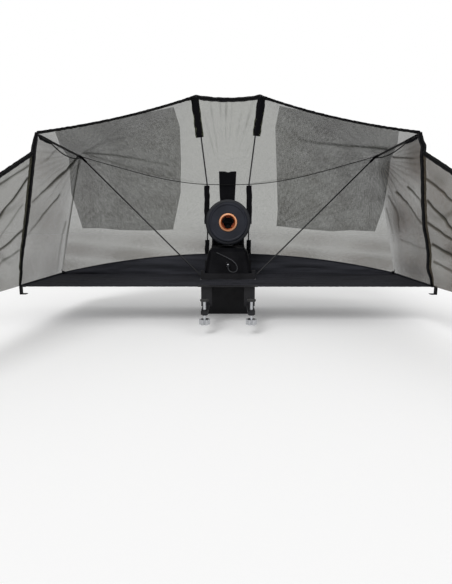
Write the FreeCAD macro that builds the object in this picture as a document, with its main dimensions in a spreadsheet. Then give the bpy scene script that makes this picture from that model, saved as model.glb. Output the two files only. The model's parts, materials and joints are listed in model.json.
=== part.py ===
"""Table tennis robot with its ball-catching net, as an assembly of separate pieces.

The robot hangs on the end of a table. Its frame is X to the right as the player sees it,
+Y away from the player and +Z up. The origin is on the table's top surface, at the end edge,
on the robot's centre plane. All sizes are in millimetres.
"""

import FreeCAD, Part
import math
import os
import re

import Sketcher
from FreeCAD import Placement, Rotation, Vector

# Driving sizes: name, value, meaning.
SIZES = (
    ("clearance", 0.3, "gap between pieces that lie on each other"),
    ("running", 0.05, "radial clearance of a running fit"),
    ("table_half_width", 762.5, "half the width of the table end"),
    ("table_thickness", 25, "playing top at the clamp"),
    ("head_z", 234.5, "height of the head's axis"),
    ("pivot_y", 305, "pan axis and tilt axis, behind the table end"),
    ("drum_radius", 93, "outer radius of the head drum"),
    ("drum_front", 93, "from the tilt axis to the drum's front lip"),
    ("drum_back", 20, "from the tilt axis to the drum's back face"),
    ("drum_wall", 3, "wall of the drum"),
    ("drum_round", 9, "rounding of the drum's front edge"),
    ("disc_radius", 79, "outer radius of the front disc"),
    ("disc_depth", 8, "thickness of the front disc"),
    ("disc_rim", 7, "width of the disc's raised rim"),
    ("ring_radius", 37, "outer radius of the outlet ring"),
    ("ring_front", 7, "how far the outlet ring stands out of the disc"),
    ("outlet_radius", 25.5, "bore that the ball leaves through"),
    ("cover_radius", 58, "outer radius of the head's rear cover"),
    ("cover_depth", 60, "length of the head's rear cover"),
    ("cover_wall", 2.5, "wall of the rear cover"),
    ("wheel_radius", 28, "throw wheel"),
    ("wheel_offset", 46.5, "from the ball's path to a throw wheel's axis"),
    ("wheel_ahead", 62, "throw wheels' axes ahead of the tilt axis"),
    ("wheel_width", 20, "throw wheel"),
    ("hub_radius", 10, "hub of a throw wheel"),
    ("shaft_radius", 1.5, "motor shafts"),
    ("motor_radius", 13, "throw motor"),
    ("motor_length", 32, "throw motor"),
    ("lug_gap", 1.5, "from a throw wheel to its motor's lug"),
    ("lug_wall", 3, "motor lug"),
    ("guide_radius", 20.8, "bore of the guide in front of the wheels"),
    ("tube_bore", 21.5, "radius of the ball tube's bore"),
    ("tube_wall", 3, "wall of the ball tube"),
    ("chamber_radius", 22, "inner radius of the ball's turning chamber"),
    ("chamber_wall", 3, "wall of the turning chamber"),
    ("pin_radius", 5, "tilt pins"),
    ("boss_radius", 14, "round end of a yoke arm"),
    ("arm_inside", 60.5, "from the centre plane to a yoke arm"),
    ("arm_thickness", 10, "yoke arm"),
    ("neck_top", 136, "top of the neck behind the drum"),
    ("neck_front_drop", 9, "how much lower the neck's front edge is"),
    ("neck_front", 73, "neck's front face ahead of the pan axis"),
    ("neck_back", 40, "neck's back face behind the pan axis"),
    ("neck_round", 12, "upright edges of the neck"),
    ("base_top", 121, "top of the base cover"),
    ("base_rim", 24, "lower edge of the base cover"),
    ("base_half_width", 98, "base cover at its lower edge"),
    ("shoulder_half_width", 83, "base cover at the shoulder"),
    ("crown_half_width", 77, "base cover at the top"),
    ("shoulder_drop", 8, "from the base's top to its shoulder"),
    ("base_front", 100, "base's front face ahead of the pan axis"),
    ("base_back", 75, "base's back face behind the pan axis"),
    ("base_wall", 3, "walls of the base"),
    ("hub_outer", 33, "pan hub"),
    ("hub_inner", 26, "bore of the pan hub"),
    ("pan_module", 1.5, "tooth module of the pan and feed gears"),
    ("tilt_module", 1, "tooth module of the tilt gears"),
    ("gear_width", 5, "gears"),
    ("tub_depth", 75, "bottom of the hopper tub below the table top"),
    ("sill_drop", 2, "sills of the ball inlets below the table top"),
    ("inlet_front", 73, "ball inlets' front end ahead of the pan axis"),
    ("inlet_back", 53, "ball inlets' back end behind the pan axis"),
    ("inlet_height", 28, "ball inlets above the base rim"),
    ("feed_ahead", 50, "feed star's axis ahead of the pan axis"),
    ("star_radius", 42, "feed star"),
    ("star_width", 12, "feed star"),
    ("case_depth", 75, "height of the lower case"),
    ("case_half_width", 92, "lower case"),
    ("lip_reach", 18, "support lip on the table top"),
    ("lip_back", 12, "support lip behind the table end"),
    ("lip_thickness", 3, "support lip"),
    ("lip_half_width", 110, "support lip"),
    ("heel_drop", 2, "thicker heel of the lip behind the table end"),
    ("claw_x", 80, "from the centre plane to a clamp"),
    ("claw_width", 24, "clamp arm"),
    ("claw_reach", 152, "clamp arm under the table"),
    ("claw_top", 63, "top of a clamp arm below the table top"),
    ("claw_height", 12, "clamp arm"),
    ("screw_reach", 138, "clamp screw from the table end"),
    ("screw_radius", 5, "clamp screw"),
    ("knob_radius", 19, "clamp knob"),
    ("rail_width", 20, "support rails"),
    ("rod_radius", 3, "fibreglass rods of the net"),
    ("arm_rod_radius", 4.5, "side arms of the net"),
    ("fitting_wall", 1.2, "walls of the net elbows"),
    ("fabric", 1.2, "thickness of the net's cloth"),
    ("net_y", 391, "uprights behind the table end"),
    ("cloth_behind", 6, "back of the net behind the uprights"),
    ("hood_above", 8, "hood above the side arms"),
    ("upright_foot_x", 93, "uprights"),
    ("upright_foot_z", 30, "lower end of the uprights"),
    ("knee_z", 400, "bend of the uprights"),
    ("peak_x", 134, "upper end of an upright"),
    ("peak_y", 310, "upper end of an upright"),
    ("peak_z", 754, "upper end of an upright"),
    ("elbow_x", 650, "net elbow"),
    ("elbow_z", 520, "net elbow"),
    ("corner_x", 645, "front upper corner of the net"),
    ("corner_y", -40, "front upper corner of the net"),
    ("corner_z", 526, "front upper corner of the net"),
    ("wing_reach", 1000, "front tip of a wing along the table"),
    ("wing_spread", 12, "how far a wing's tip stands out from the table"),
    ("wing_start", 0.12, "where a wing starts, as a share of the corner band"),
    ("seam_z", 92, "top seam of the tray wall at the middle"),
    ("socket_z", 20, "sockets of the diagonal rods"),
    ("mesh_pitch", 38, "pitch of the gaps that stand for the mesh"),
    ("mesh_strand", 5, "cloth left between two gaps"),
    ("mesh_hem", 22, "closed edge of each net panel"),
    ("band_width", 16, "corner bands"),
    ("binding_width", 14, "bindings of the upper edges"),
    ("pocket_width", 30, "upper rod pockets"),
    ("strap_width", 74, "centre strap"),
    ("strap_top", 457, "centre strap"),
    ("cord_radius", 1.5, "tension cord"),
)

NAMES = [alias for alias, _, _ in SIZES]
WORDS = re.compile(r"[a-z_]+")

doc = FreeCAD.newDocument("table_tennis_robot")
sheet = doc.addObject("Spreadsheet::Sheet", "Sizes")
for row, (alias, value, meaning) in enumerate(SIZES, start=1):
    sheet.set(f"A{row}", alias.replace("_", " "))
    sheet.set(f"B{row}", str(value))
    sheet.set(f"C{row}", meaning)
    sheet.setAlias(f"B{row}", alias)
doc.recompute()

nodes = []


def size(text):
    """Value of a size, or of a sum of sizes, from the sheet."""
    return float(sheet.evalExpression(str(text)))


def linked(text):
    """The same sum, as an expression that another object of the document can hold."""
    return WORDS.sub(lambda m: f"Sizes.{m[0]}" if m[0] in NAMES else m[0], str(text))


def bind(thing, **sizes):
    for name, text in sizes.items():
        thing.setExpression(name.replace("__", "."), linked(text))


def place(thing, at, rotation=None):
    """Put an object at a point given as three sums of sizes."""
    if rotation is not None:
        thing.Placement = Placement(Vector(), rotation)
    for axis, text in zip("xyz", at):
        thing.setExpression(f"Placement.Base.{axis}", linked(text))
    return thing


TURN = {
    "X": Rotation(Vector(0, 0, 1), Vector(1, 0, 0)),
    "Y": Rotation(Vector(0, 0, 1), Vector(0, 1, 0)),
    "Z": Rotation(),
    "-Z": Rotation(Vector(1, 0, 0), 180),
}


def keep(thing, node):
    """Name an object as a sub-part of the robot."""
    thing.Label = node
    nodes.append(thing)
    return thing


def box(name, low, high):
    thing = doc.addObject("Part::Box", name)
    for side, a, b in zip(("Length", "Width", "Height"), low, high):
        bind(thing, **{side: f"({b}) - ({a})"})
    return place(thing, low)


def cylinder(name, radius, length, at, axis="Z"):
    thing = doc.addObject("Part::Cylinder", name)
    bind(thing, Radius=radius, Height=length)
    return place(thing, at, TURN[axis])


def joined(name, *things):
    whole = doc.addObject("Part::MultiFuse", name)
    whole.Shapes = list(things)
    return whole


def cut(name, base, *tools):
    whole = doc.addObject("Part::Cut", name)
    whole.Base = base
    whole.Tool = tools[0] if len(tools) == 1 else joined(name + "_tools", *tools)
    return whole


def feature(node, shape):
    thing = doc.addObject("Part::Feature", node)
    thing.Shape = shape
    return keep(thing, node)


def outline_sketch(body, role, points, name):
    """A closed outline of straight edges whose corners are sums of sizes."""
    sketch = body.newObject("Sketcher::SketchObject", name)
    plane = next(f for f in body.Origin.OriginFeatures if f.Role == role)
    sketch.AttachmentSupport = (plane, [""])
    sketch.MapMode = "FlatFace"
    corners = [(size(x), size(y)) for x, y in points]
    count = len(corners)
    for i in range(count):
        start = Vector(*corners[i], 0)
        end = Vector(*corners[(i + 1) % count], 0)
        sketch.addGeometry(Part.LineSegment(start, end))
    for i in range(count):
        sketch.addConstraint(Sketcher.Constraint("Coincident", i, 2, (i + 1) % count, 1))
    for i, texts in enumerate(points):
        for kind, text, value in zip(("DistanceX", "DistanceY"), texts, corners[i]):
            number = sketch.addConstraint(Sketcher.Constraint(kind, -1, 1, i, 1, value))
            sketch.setExpression(f"Constraints[{number}]", linked(text))
    return sketch


def turned(name, points, at, axis="Z"):
    """A body turned about its own Z; the points are radius and height."""
    body = doc.addObject("PartDesign::Body", name)
    sketch = outline_sketch(body, "XZ_Plane", points, name + "_outline")
    turn = body.newObject("PartDesign::Revolution", name + "_turn")
    turn.Profile = sketch
    turn.ReferenceAxis = (sketch, ["V_Axis"])
    turn.Angle = 360
    place(body, at, TURN[axis] if isinstance(axis, str) else axis)
    return body


def padded(name, role, points, length, at=("0", "0", "0"), both=True):
    """A body padded from an outline on one of its origin planes."""
    body = doc.addObject("PartDesign::Body", name)
    sketch = outline_sketch(body, role, points, name + "_outline")
    pad = body.newObject("PartDesign::Pad", name + "_pad")
    pad.Profile = sketch
    pad.Midplane = both
    bind(pad, Length=length)
    place(body, at)
    return body


def rounded(body, name, radius, chosen):
    """Fillet the edges of a body's tip for which chosen(edge) is true."""
    doc.recompute()
    tip = body.Tip
    edges = [f"Edge{i}" for i, edge in enumerate(tip.Shape.Edges, start=1) if chosen(edge)]
    fillet = body.newObject("PartDesign::Fillet", name)
    fillet.Base = (tip, edges)
    bind(fillet, Radius=radius)
    body.Tip = fillet
    return body


def is_circle(edge, radius, height):
    curve = edge.Curve
    if not isinstance(curve, Part.Circle):
        return False
    return abs(curve.Radius - radius) < 0.01 and abs(curve.Center.z - height) < 0.01


def is_upright(edge):
    """True for a straight edge along the body's own Z."""
    if not isinstance(edge.Curve, Part.Line):
        return False
    return abs(abs(edge.Curve.Direction.z) - 1) < 1e-6


def gear(node, teeth, module, bore, centre, axis, phase, shaft=None):
    """A spur gear whose first tooth points at the angle phase, in degrees.

    With a bore of 0 it carries a shaft, given as its radius and its end below the gear."""
    width = size("gear_width")
    pitch = module * teeth / 2
    step = 2 * math.pi / teeth
    flank = ((-0.27, -1.25), (-0.21, 0), (-0.11, 0.9), (0.11, 0.9), (0.21, 0), (0.27, -1.25))
    corners = []
    for tooth in range(teeth):
        for share, rise in flank:
            angle = math.radians(phase) + (tooth + share) * step
            radius = pitch + rise * module
            corners.append(Vector(radius * math.cos(angle), radius * math.sin(angle), 0))
    blank = Part.Face(Part.makePolygon(corners + corners[:1])).extrude(Vector(0, 0, width))
    if shaft is None:
        blank = blank.cut(Part.makeCylinder(bore, width))
    else:
        radius, reach = shaft
        blank = blank.fuse(Part.makeCylinder(radius, abs(reach), Vector(0, 0, min(reach, 0))))
    return place(feature(node, blank.removeSplitter()), centre, TURN[axis])


# Head: everything that tilts about the tilt axis.

HEAD = ("0", "pivot_y", "head_z")
THROW_ANGLES = (0, 120, 240)
TILT_TEETH = 36
TILT_PINION_TEETH = 12
PAN_TEETH = 56
PAN_PINION_TEETH = 14
FEED_TEETH = 40
FEED_PINION_TEETH = 12


def head_shells():
    # The bodies are turned about an axis that points forward, from the tilt axis.
    forward = Rotation(Vector(0, 0, 1), Vector(0, -1, 0))
    lip = "drum_radius - drum_round - 2"
    points = (
        ("drum_radius", "drum_back"),
        ("drum_radius", "drum_front"),
        (lip, "drum_front"),
        (lip, "drum_front - drum_wall"),
        ("drum_radius - drum_wall", "drum_front - drum_wall - drum_round"),
        ("drum_radius - drum_wall", "drum_back + drum_wall"),
        ("cover_radius - 6", "drum_back + drum_wall"),
        ("cover_radius - 6", "drum_back"),
    )
    drum = turned("drum_shell", points, HEAD, forward)
    radius, front = size("drum_radius"), size("drum_front")
    rounded(drum, "drum_edge", "drum_round", lambda e: is_circle(e, radius, front))
    slot = box(
        "drum_slot",
        ("-tube_bore - 5.5", "pivot_y - drum_back - 23", "head_z - drum_radius - 5"),
        ("tube_bore + 5.5", "pivot_y - drum_back + 5", "head_z - 45"),
    )
    keep(cut("head_drum_cut", drum, slot), "head_drum")

    seat = "drum_front - 1"
    face = "drum_front + disc_depth"
    dish = "drum_front + disc_depth - 2"
    points = (
        ("ring_radius - 4", seat),
        ("disc_radius + 3", seat),
        ("disc_radius + 3", "drum_front"),
        ("disc_radius", "drum_front"),
        ("disc_radius", "drum_front + disc_depth - 3"),
        ("disc_radius - 3", face),
        ("disc_radius - disc_rim", face),
        ("disc_radius - disc_rim - 3", dish),
        ("ring_radius + 2", dish),
        ("ring_radius", "drum_front + disc_depth - 3"),
        ("ring_radius", "drum_front + 3"),
        ("ring_radius - 4", "drum_front + 3"),
    )
    keep(turned("front_disc", points, HEAD, forward), "head_front_disc")

    nose = "drum_front + disc_depth - 2 + ring_front"
    points = (
        ("outlet_radius", "drum_front + 3"),
        ("ring_radius - clearance", "drum_front + 3"),
        ("ring_radius - clearance", f"{nose} - 5"),
        ("ring_radius - 4", f"{nose} - 1"),
        ("ring_radius - 7", nose),
        ("outlet_radius + 2", f"{nose} - 2"),
        ("outlet_radius", f"{nose} - 6"),
    )
    keep(turned("outlet", points, HEAD, forward), "outlet_ring")


def head_rear():
    """Rear cover with bosses for the tilt pins, open below for the ball tube."""
    back = Rotation(Vector(0, 0, 1), Vector(0, 1, 0))
    points = (
        ("0", "cover_depth - drum_back - cover_wall"),
        ("cover_radius - cover_wall", "cover_depth - drum_back - cover_wall"),
        ("cover_radius - cover_wall", "-drum_back"),
        ("cover_radius", "-drum_back"),
        ("cover_radius", "cover_depth - drum_back"),
        ("0", "cover_depth - drum_back"),
    )
    cup = turned("cover_cup", points, HEAD, back)
    radius, rear = size("cover_radius"), size("cover_depth - drum_back")
    rounded(cup, "cover_edge", "2 * cover_wall + 3", lambda e: is_circle(e, radius, rear))
    bosses = [
        cylinder(
            f"cover_boss_{side}",
            "pin_radius + 4",
            "cover_radius - cover_wall / 2 - 42",
            (start, "pivot_y", "head_z"),
            "X",
        )
        for side, start in (("right", "42"), ("left", "-cover_radius + cover_wall / 2"))
    ]
    slot = box(
        "cover_slot",
        ("-tube_bore - 5.5", "pivot_y - drum_back - 2", "head_z - cover_radius - 5"),
        ("tube_bore + 5.5", "pivot_y - drum_back + cover_depth + 5", "head_z - 18"),
    )
    bore = cylinder(
        "cover_bore", "pin_radius", "2 * cover_radius", ("-cover_radius", "pivot_y", "head_z"), "X"
    )
    shell = joined("cover_joined", cup, *bosses)
    keep(cut("head_cover_cut", shell, slot, bore), "head_rear_cover")


def ball_deflector():
    """Half-round chamber that turns the rising ball forward, on the tilt axis."""
    outside = cylinder(
        "chamber_outside",
        "chamber_radius + chamber_wall",
        "2 * (chamber_radius + chamber_wall)",
        ("-chamber_radius - chamber_wall", "pivot_y", "head_z"),
        "X",
    )
    inside = cylinder(
        "chamber_inside",
        "chamber_radius",
        "2 * chamber_radius",
        ("-chamber_radius", "pivot_y", "head_z"),
        "X",
    )
    below = box(
        "chamber_below",
        ("-40", "pivot_y - 40", "head_z - 40"),
        ("40", "pivot_y + 40", "head_z - 2"),
    )
    mouth = cylinder(
        "chamber_mouth", "tube_bore", "40", ("0", "pivot_y - 40", "head_z"), "Y"
    )
    trunnions = []
    for side, start in (("right", "chamber_radius + 1"), ("left", "-42")):
        length = "41 - chamber_radius"
        at = (start, "pivot_y", "head_z")
        trunnions.append(cylinder(f"trunnion_{side}", "pin_radius + 3", length, at, "X"))
    half = cut("chamber_cut", outside, inside, below, mouth)
    whole = joined("deflector_joined", half, *trunnions)
    again = cylinder(
        "chamber_clear", "chamber_radius", "2 * chamber_radius",
        ("-chamber_radius", "pivot_y", "head_z"), "X"
    )
    keep(cut("deflector_cut", whole, again), "ball_deflector")


def on_wheel_circle(angle, along, outward="wheel_offset"):
    """Point of a throw wheel's axis, given along the axis from the wheel's middle."""
    sine, cosine = f"sin({angle} deg)", f"cos({angle} deg)"
    return (
        f"({outward}) * {sine} + ({along}) * {cosine}",
        "pivot_y - wheel_ahead",
        f"head_z + ({outward}) * {cosine} - ({along}) * {sine}",
    )


def throwing_gear():
    """Carrier plate, three motors and three wheels round the ball's path."""
    back = "drum_back + drum_wall"
    plate_front = "pivot_y - drum_back - drum_wall - 4"
    plate = cylinder(
        "carrier_plate", "drum_radius - drum_wall - 2", "4", ("0", plate_front, "head_z"), "Y"
    )
    guide = cylinder(
        "carrier_guide", "guide_radius + 1.7", "12", ("0", f"{plate_front} - 10", "head_z"), "Y"
    )
    lugs = []
    shaft_bores = []
    lug_at = "wheel_width / 2 + lug_gap"
    for angle in THROW_ANGLES:
        turn = Rotation(Vector(0, 1, 0), angle)
        lug = doc.addObject("Part::Box", f"lug_{angle}")
        bind(
            lug,
            Length="lug_wall",
            Width="wheel_ahead - drum_back - drum_wall + motor_radius",
            Height="2 * motor_radius + 4",
        )
        corner = on_wheel_circle(angle, lug_at, "wheel_offset - motor_radius - 2")
        place(lug, (corner[0], "pivot_y - wheel_ahead - motor_radius", corner[2]), turn)
        lugs.append(lug)
        bore = doc.addObject("Part::Cylinder", f"lug_bore_{angle}")
        bind(bore, Radius="shaft_radius + 1", Height="lug_wall + 2")
        place(bore, on_wheel_circle(angle, f"{lug_at} - 1"), turn.multiply(TURN["X"]))
        shaft_bores.append(bore)
    path = cylinder(
        "carrier_path", "guide_radius", "40", ("0", f"{plate_front} - 20", "head_z"), "Y"
    )
    slot = box(
        "carrier_slot",
        ("-tube_bore - 5.5", f"{plate_front} - 1.5", "head_z - drum_radius"),
        ("tube_bore + 5.5", f"{plate_front} + 10", "head_z - 7"),
    )
    seat = cylinder(
        "carrier_seat",
        "chamber_radius + chamber_wall",
        "2 * (chamber_radius + chamber_wall)",
        ("-chamber_radius - chamber_wall", "pivot_y", "head_z"),
        "X",
    )
    solid = joined("carrier_joined", plate, guide, *lugs)
    keep(cut("carrier_cut", solid, path, slot, seat, *shaft_bores), "wheel_carrier")

    motors = []
    for number, angle in enumerate(THROW_ANGLES, start=1):
        turn = Rotation(Vector(0, 1, 0), angle).multiply(TURN["X"])
        points = (
            ("shaft_radius + running", "0"),
            ("motor_radius - 1.5", "0"),
            ("motor_radius", "1.5"),
            ("motor_radius", "motor_length - 3"),
            ("motor_radius - 2", "motor_length - 3"),
            ("motor_radius - 2", "motor_length"),
            ("0", "motor_length"),
            ("0", "motor_length / 2"),
            ("shaft_radius + running", "motor_length / 2"),
        )
        at = on_wheel_circle(angle, f"{lug_at} + lug_wall")
        motors.append(turned(f"throw_motor_{number}", points, at, turn))

        half = "wheel_width / 2"
        points = (
            ("0", f"-{half}"),
            ("hub_radius", f"-{half}"),
            ("hub_radius", half),
            ("shaft_radius", half),
            ("shaft_radius", f"{lug_at} + lug_wall + motor_length / 2 - 2"),
            ("0", f"{lug_at} + lug_wall + motor_length / 2 - 2"),
        )
        centre = on_wheel_circle(angle, "0")
        keep(turned(f"hub_{number}", points, centre, turn), f"wheel_hub_{number}")

        points = (
            ("hub_radius", f"-{half}"),
            ("wheel_radius - 2", f"-{half}"),
            ("wheel_radius", f"-{half} + 2"),
            ("wheel_radius - 1.5", "0"),
            ("wheel_radius", f"{half} - 2"),
            ("wheel_radius - 2", half),
            ("hub_radius", half),
        )
        keep(turned(f"tyre_{number}", points, centre, turn), f"wheel_tyre_{number}")
    keep(joined("throw_motors_group", *motors), "throw_motors")


def tilt_drive():
    """Tilt pins, the gear on the right pin, its pinion and motor."""
    out = "arm_inside + arm_thickness"
    right = cylinder("pin_right", "pin_radius", f"{out} + 7 - 44", ("44", "pivot_y", "head_z"), "X")
    left = cylinder(
        "pin_left", "pin_radius", f"{out} + 2 - 44", (f"-({out}) - 2", "pivot_y", "head_z"), "X"
    )
    cap = cylinder(
        "pin_cap", "pin_radius + 4", "3", (f"-({out}) - 4", "pivot_y", "head_z"), "X"
    )
    keep(joined("tilt_pins_group", right, joined("pin_left_capped", left, cap)), "tilt_pins")

    gear_at = (f"{out} + 2", "pivot_y", "head_z")
    module = size("tilt_module")
    # The pinion sits behind and below the tilt pin, at 45 degrees.
    gear("tilt_gear", TILT_TEETH, module, size("pin_radius"), gear_at, "X", 225)
    reach = f"tilt_module * {(TILT_TEETH + TILT_PINION_TEETH) / 2} * sqrt(0.5)"
    pinion_at = (f"{out} + 2", f"pivot_y + {reach}", f"head_z - {reach}")
    half_step = 180 / TILT_PINION_TEETH
    shaft = size("shaft_radius")
    gear(
        "tilt_pinion", TILT_PINION_TEETH, module, 0, pinion_at, "X", 45 + half_step, (shaft, 14)
    )

    face = f"{out} + gear_width + 3"
    body = cylinder("tilt_motor_body", "9", "12", (f"{face} + 2", *pinion_at[1:]), "X")
    plate = box(
        "tilt_motor_plate",
        (face, "pivot_y + 6", "head_z - 41"),
        (f"{face} + 2", "pivot_y + 35", "head_z - 8"),
    )
    posts = [
        cylinder(
            f"tilt_post_{i}", "2.5", "gear_width + 3", (out, f"pivot_y + {y}", f"head_z - {z}"), "X"
        )
        for i, (y, z) in enumerate(((14, 36), (30, 36)), start=1)
    ]
    window = cylinder(
        "tilt_window", "shaft_radius + running", "18", (f"{out} - 0.95", *pinion_at[1:]), "X"
    )
    whole = joined("tilt_motor_joined", body, plate, *posts)
    keep(cut("tilt_motor_cut", whole, window), "tilt_motor")


# Yoke: everything that pans with the head.


def yoke():
    neck_points = (
        ("-neck_front", "base_top + clearance"),
        ("-neck_front", "neck_top - neck_front_drop"),
        ("-drum_back + 5", "neck_top"),
        ("neck_back", "neck_top"),
        ("neck_back", "base_top + clearance"),
    )
    half = "2 * (arm_inside + arm_thickness)"
    neck = padded("neck", "YZ_Plane", neck_points, half, ("0", "pivot_y", "0"))
    rounded(neck, "neck_edges", "neck_round", is_upright)

    arm_points = (
        ("neck_back - 27", "neck_top - 2"),
        ("neck_back", "neck_top - 2"),
        ("neck_back", "head_z - 45"),
        ("boss_radius", "head_z + 4"),
        ("-boss_radius + 1", "head_z - 8"),
        ("neck_back - 27", "head_z - 70"),
    )
    arms = []
    bosses = []
    for side, start in (("right", "arm_inside"), ("left", "-arm_inside - arm_thickness")):
        arm = padded(f"arm_{side}", "YZ_Plane", arm_points, "arm_thickness", both=False)
        arms.append(place(arm, (start, "pivot_y", "0")))
        at = (start, "pivot_y", "head_z")
        bosses.append(cylinder(f"boss_{side}", "boss_radius", "arm_thickness", at, "X"))
    hub = cylinder("pan_hub", "hub_outer", "base_top - 96 + 2", ("0", "pivot_y", "96"))
    tube_hole = cylinder("neck_bore", "tube_bore + tube_wall", "80", ("0", "pivot_y", "90"))
    hub_bore = cylinder("hub_bore", "hub_inner", "base_top - 96", ("0", "pivot_y", "96"))
    pin_bore = cylinder(
        "arm_bore", "pin_radius + running", "200", ("-100", "pivot_y", "head_z"), "X"
    )
    web = box(
        "neck_web",
        ("-arm_inside - 1", "pivot_y + neck_back - 9", "neck_top - 2"),
        ("arm_inside + 1", "pivot_y + neck_back", "head_z - 70"),
    )
    solid = joined("yoke_joined", neck, hub, web, *arms, *bosses)
    keep(cut("yoke_cut", solid, tube_hole, hub_bore, pin_bore), "head_yoke")

    tube = turned(
        "upper_tube",
        (
            ("tube_bore", "base_top + clearance"),
            ("tube_bore + tube_wall", "base_top + clearance"),
            ("tube_bore + tube_wall", "head_z"),
            ("tube_bore", "head_z"),
        ),
        ("0", "pivot_y", "0"),
    )
    saddle = cylinder(
        "tube_saddle", "chamber_radius + chamber_wall + 1", "60", ("-30", "pivot_y", "head_z"), "X"
    )
    keep(cut("yoke_tube_cut", tube, saddle), "yoke_tube")


def pan_drive():
    module = size("pan_module")
    gear_at = ("0", "pivot_y", "base_top - base_wall - clearance - gear_width - 10")
    gear("pan_gear", PAN_TEETH, module, size("hub_outer"), gear_at, "Z", 0)
    reach = f"pan_module * {(PAN_TEETH + PAN_PINION_TEETH) / 2}"
    pinion_at = (reach, "pivot_y", gear_at[2])
    half_step = 180 / PAN_PINION_TEETH
    shaft = size("shaft_radius")
    gear(
        "pan_pinion", PAN_PINION_TEETH, module, 0, pinion_at, "Z", 180 + half_step, (shaft, -16)
    )

    shelf_top = f"{gear_at[2]} - 3"
    shelf = box(
        "shelf_plate",
        ("-crown_half_width + 6", "pivot_y - 60", f"{shelf_top} - 3"),
        ("crown_half_width - 6", "pivot_y + 60", shelf_top),
    )
    posts = []
    for x in ("-crown_half_width + 12", "crown_half_width - 12"):
        for y in ("pivot_y - 54", "pivot_y + 54"):
            post = cylinder(
                f"post_{len(posts)}", "4", f"base_top - base_wall - ({shelf_top}) + 1",
                (x, y, f"{shelf_top} - 1")
            )
            posts.append(post)
    hub_hole = cylinder("shelf_hole", "hub_outer + 2", "20", ("0", "pivot_y", f"{shelf_top} - 10"))
    shaft_hole = cylinder("shelf_bore", "3", "20", (reach, "pivot_y", f"{shelf_top} - 10"))
    above = box(
        "above_shelf",
        ("-200", "0", "base_top - base_wall"),
        ("200", "500", "base_top + 40"),
    )
    plate = joined("shelf_joined", shelf, *posts)
    keep(cut("shelf_cut", plate, hub_hole, shaft_hole, above), "motor_shelf")

    motor_points = (
        ("shaft_radius + running", "0"),
        ("12", "0"),
        ("12", "-30"),
        ("5", "-30"),
        ("5", "-33"),
        ("0", "-33"),
        ("0", "-12"),
        ("shaft_radius + running", "-12"),
    )
    keep(turned("pan_motor_body", motor_points, (reach, "pivot_y", f"{shelf_top} - 3")), "pan_motor")


# Base: cover, hopper, feed and lower case.


def section(half_width, front, back, height, corner):
    """Rounded rectangle at a height, as a closed wire."""
    x, y0, y1, z = half_width, front, back, height
    r = corner
    d = r * (1 - math.sqrt(0.5))
    edges = []
    starts = (
        (Vector(-x + r, y0, z), Vector(x - r, y0, z), Vector(x - d, y0 + d, z), Vector(x, y0 + r, z)),
        (Vector(x, y0 + r, z), Vector(x, y1 - r, z), Vector(x - d, y1 - d, z), Vector(x - r, y1, z)),
        (Vector(x - r, y1, z), Vector(-x + r, y1, z), Vector(-x + d, y1 - d, z), Vector(-x, y1 - r, z)),
        (Vector(-x, y1 - r, z), Vector(-x, y0 + r, z), Vector(-x + d, y0 + d, z), Vector(-x + r, y0, z)),
    )
    for a, b, middle, c in starts:
        edges.append(Part.LineSegment(a, b).toShape())
        edges.append(Part.Arc(b, middle, c).toShape())
    return Part.Wire(edges)


def bell(shrink):
    """Flared body of the base cover, drawn in on all sides by shrink."""
    pivot = size("pivot_y")
    front, back = pivot - size("base_front"), pivot + size("base_back")
    rim, top = size("base_rim"), size("base_top")
    shoulder = top - size("shoulder_drop")
    sections = (
        (size("base_half_width"), front, back, rim, 24),
        (size("shoulder_half_width"), front + 17, back, shoulder, 22),
        (size("crown_half_width"), front + 24, back, top, 18),
    )
    wires = []
    for half_width, y0, y1, height, corner in sections:
        drop = shrink if height == top else 0
        wires.append(
            section(
                half_width - shrink, y0 + shrink, y1 - shrink, height - drop, corner - shrink
            )
        )
    return Part.makeLoft(wires, True, True)


def base_cover():
    wall = size("base_wall")
    solid = bell(0).cut(bell(wall))
    pivot = size("pivot_y")
    bore = Part.makeCylinder(
        size("hub_outer + running"), 20, Vector(0, pivot, size("base_top") - 10)
    )
    inlet = Part.makeBox(
        400,
        size("inlet_front + inlet_back"),
        size("inlet_height"),
        Vector(-200, pivot - size("inlet_front"), size("base_rim")),
    )
    feature("base_cover", solid.cut(bore).cut(inlet))


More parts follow.
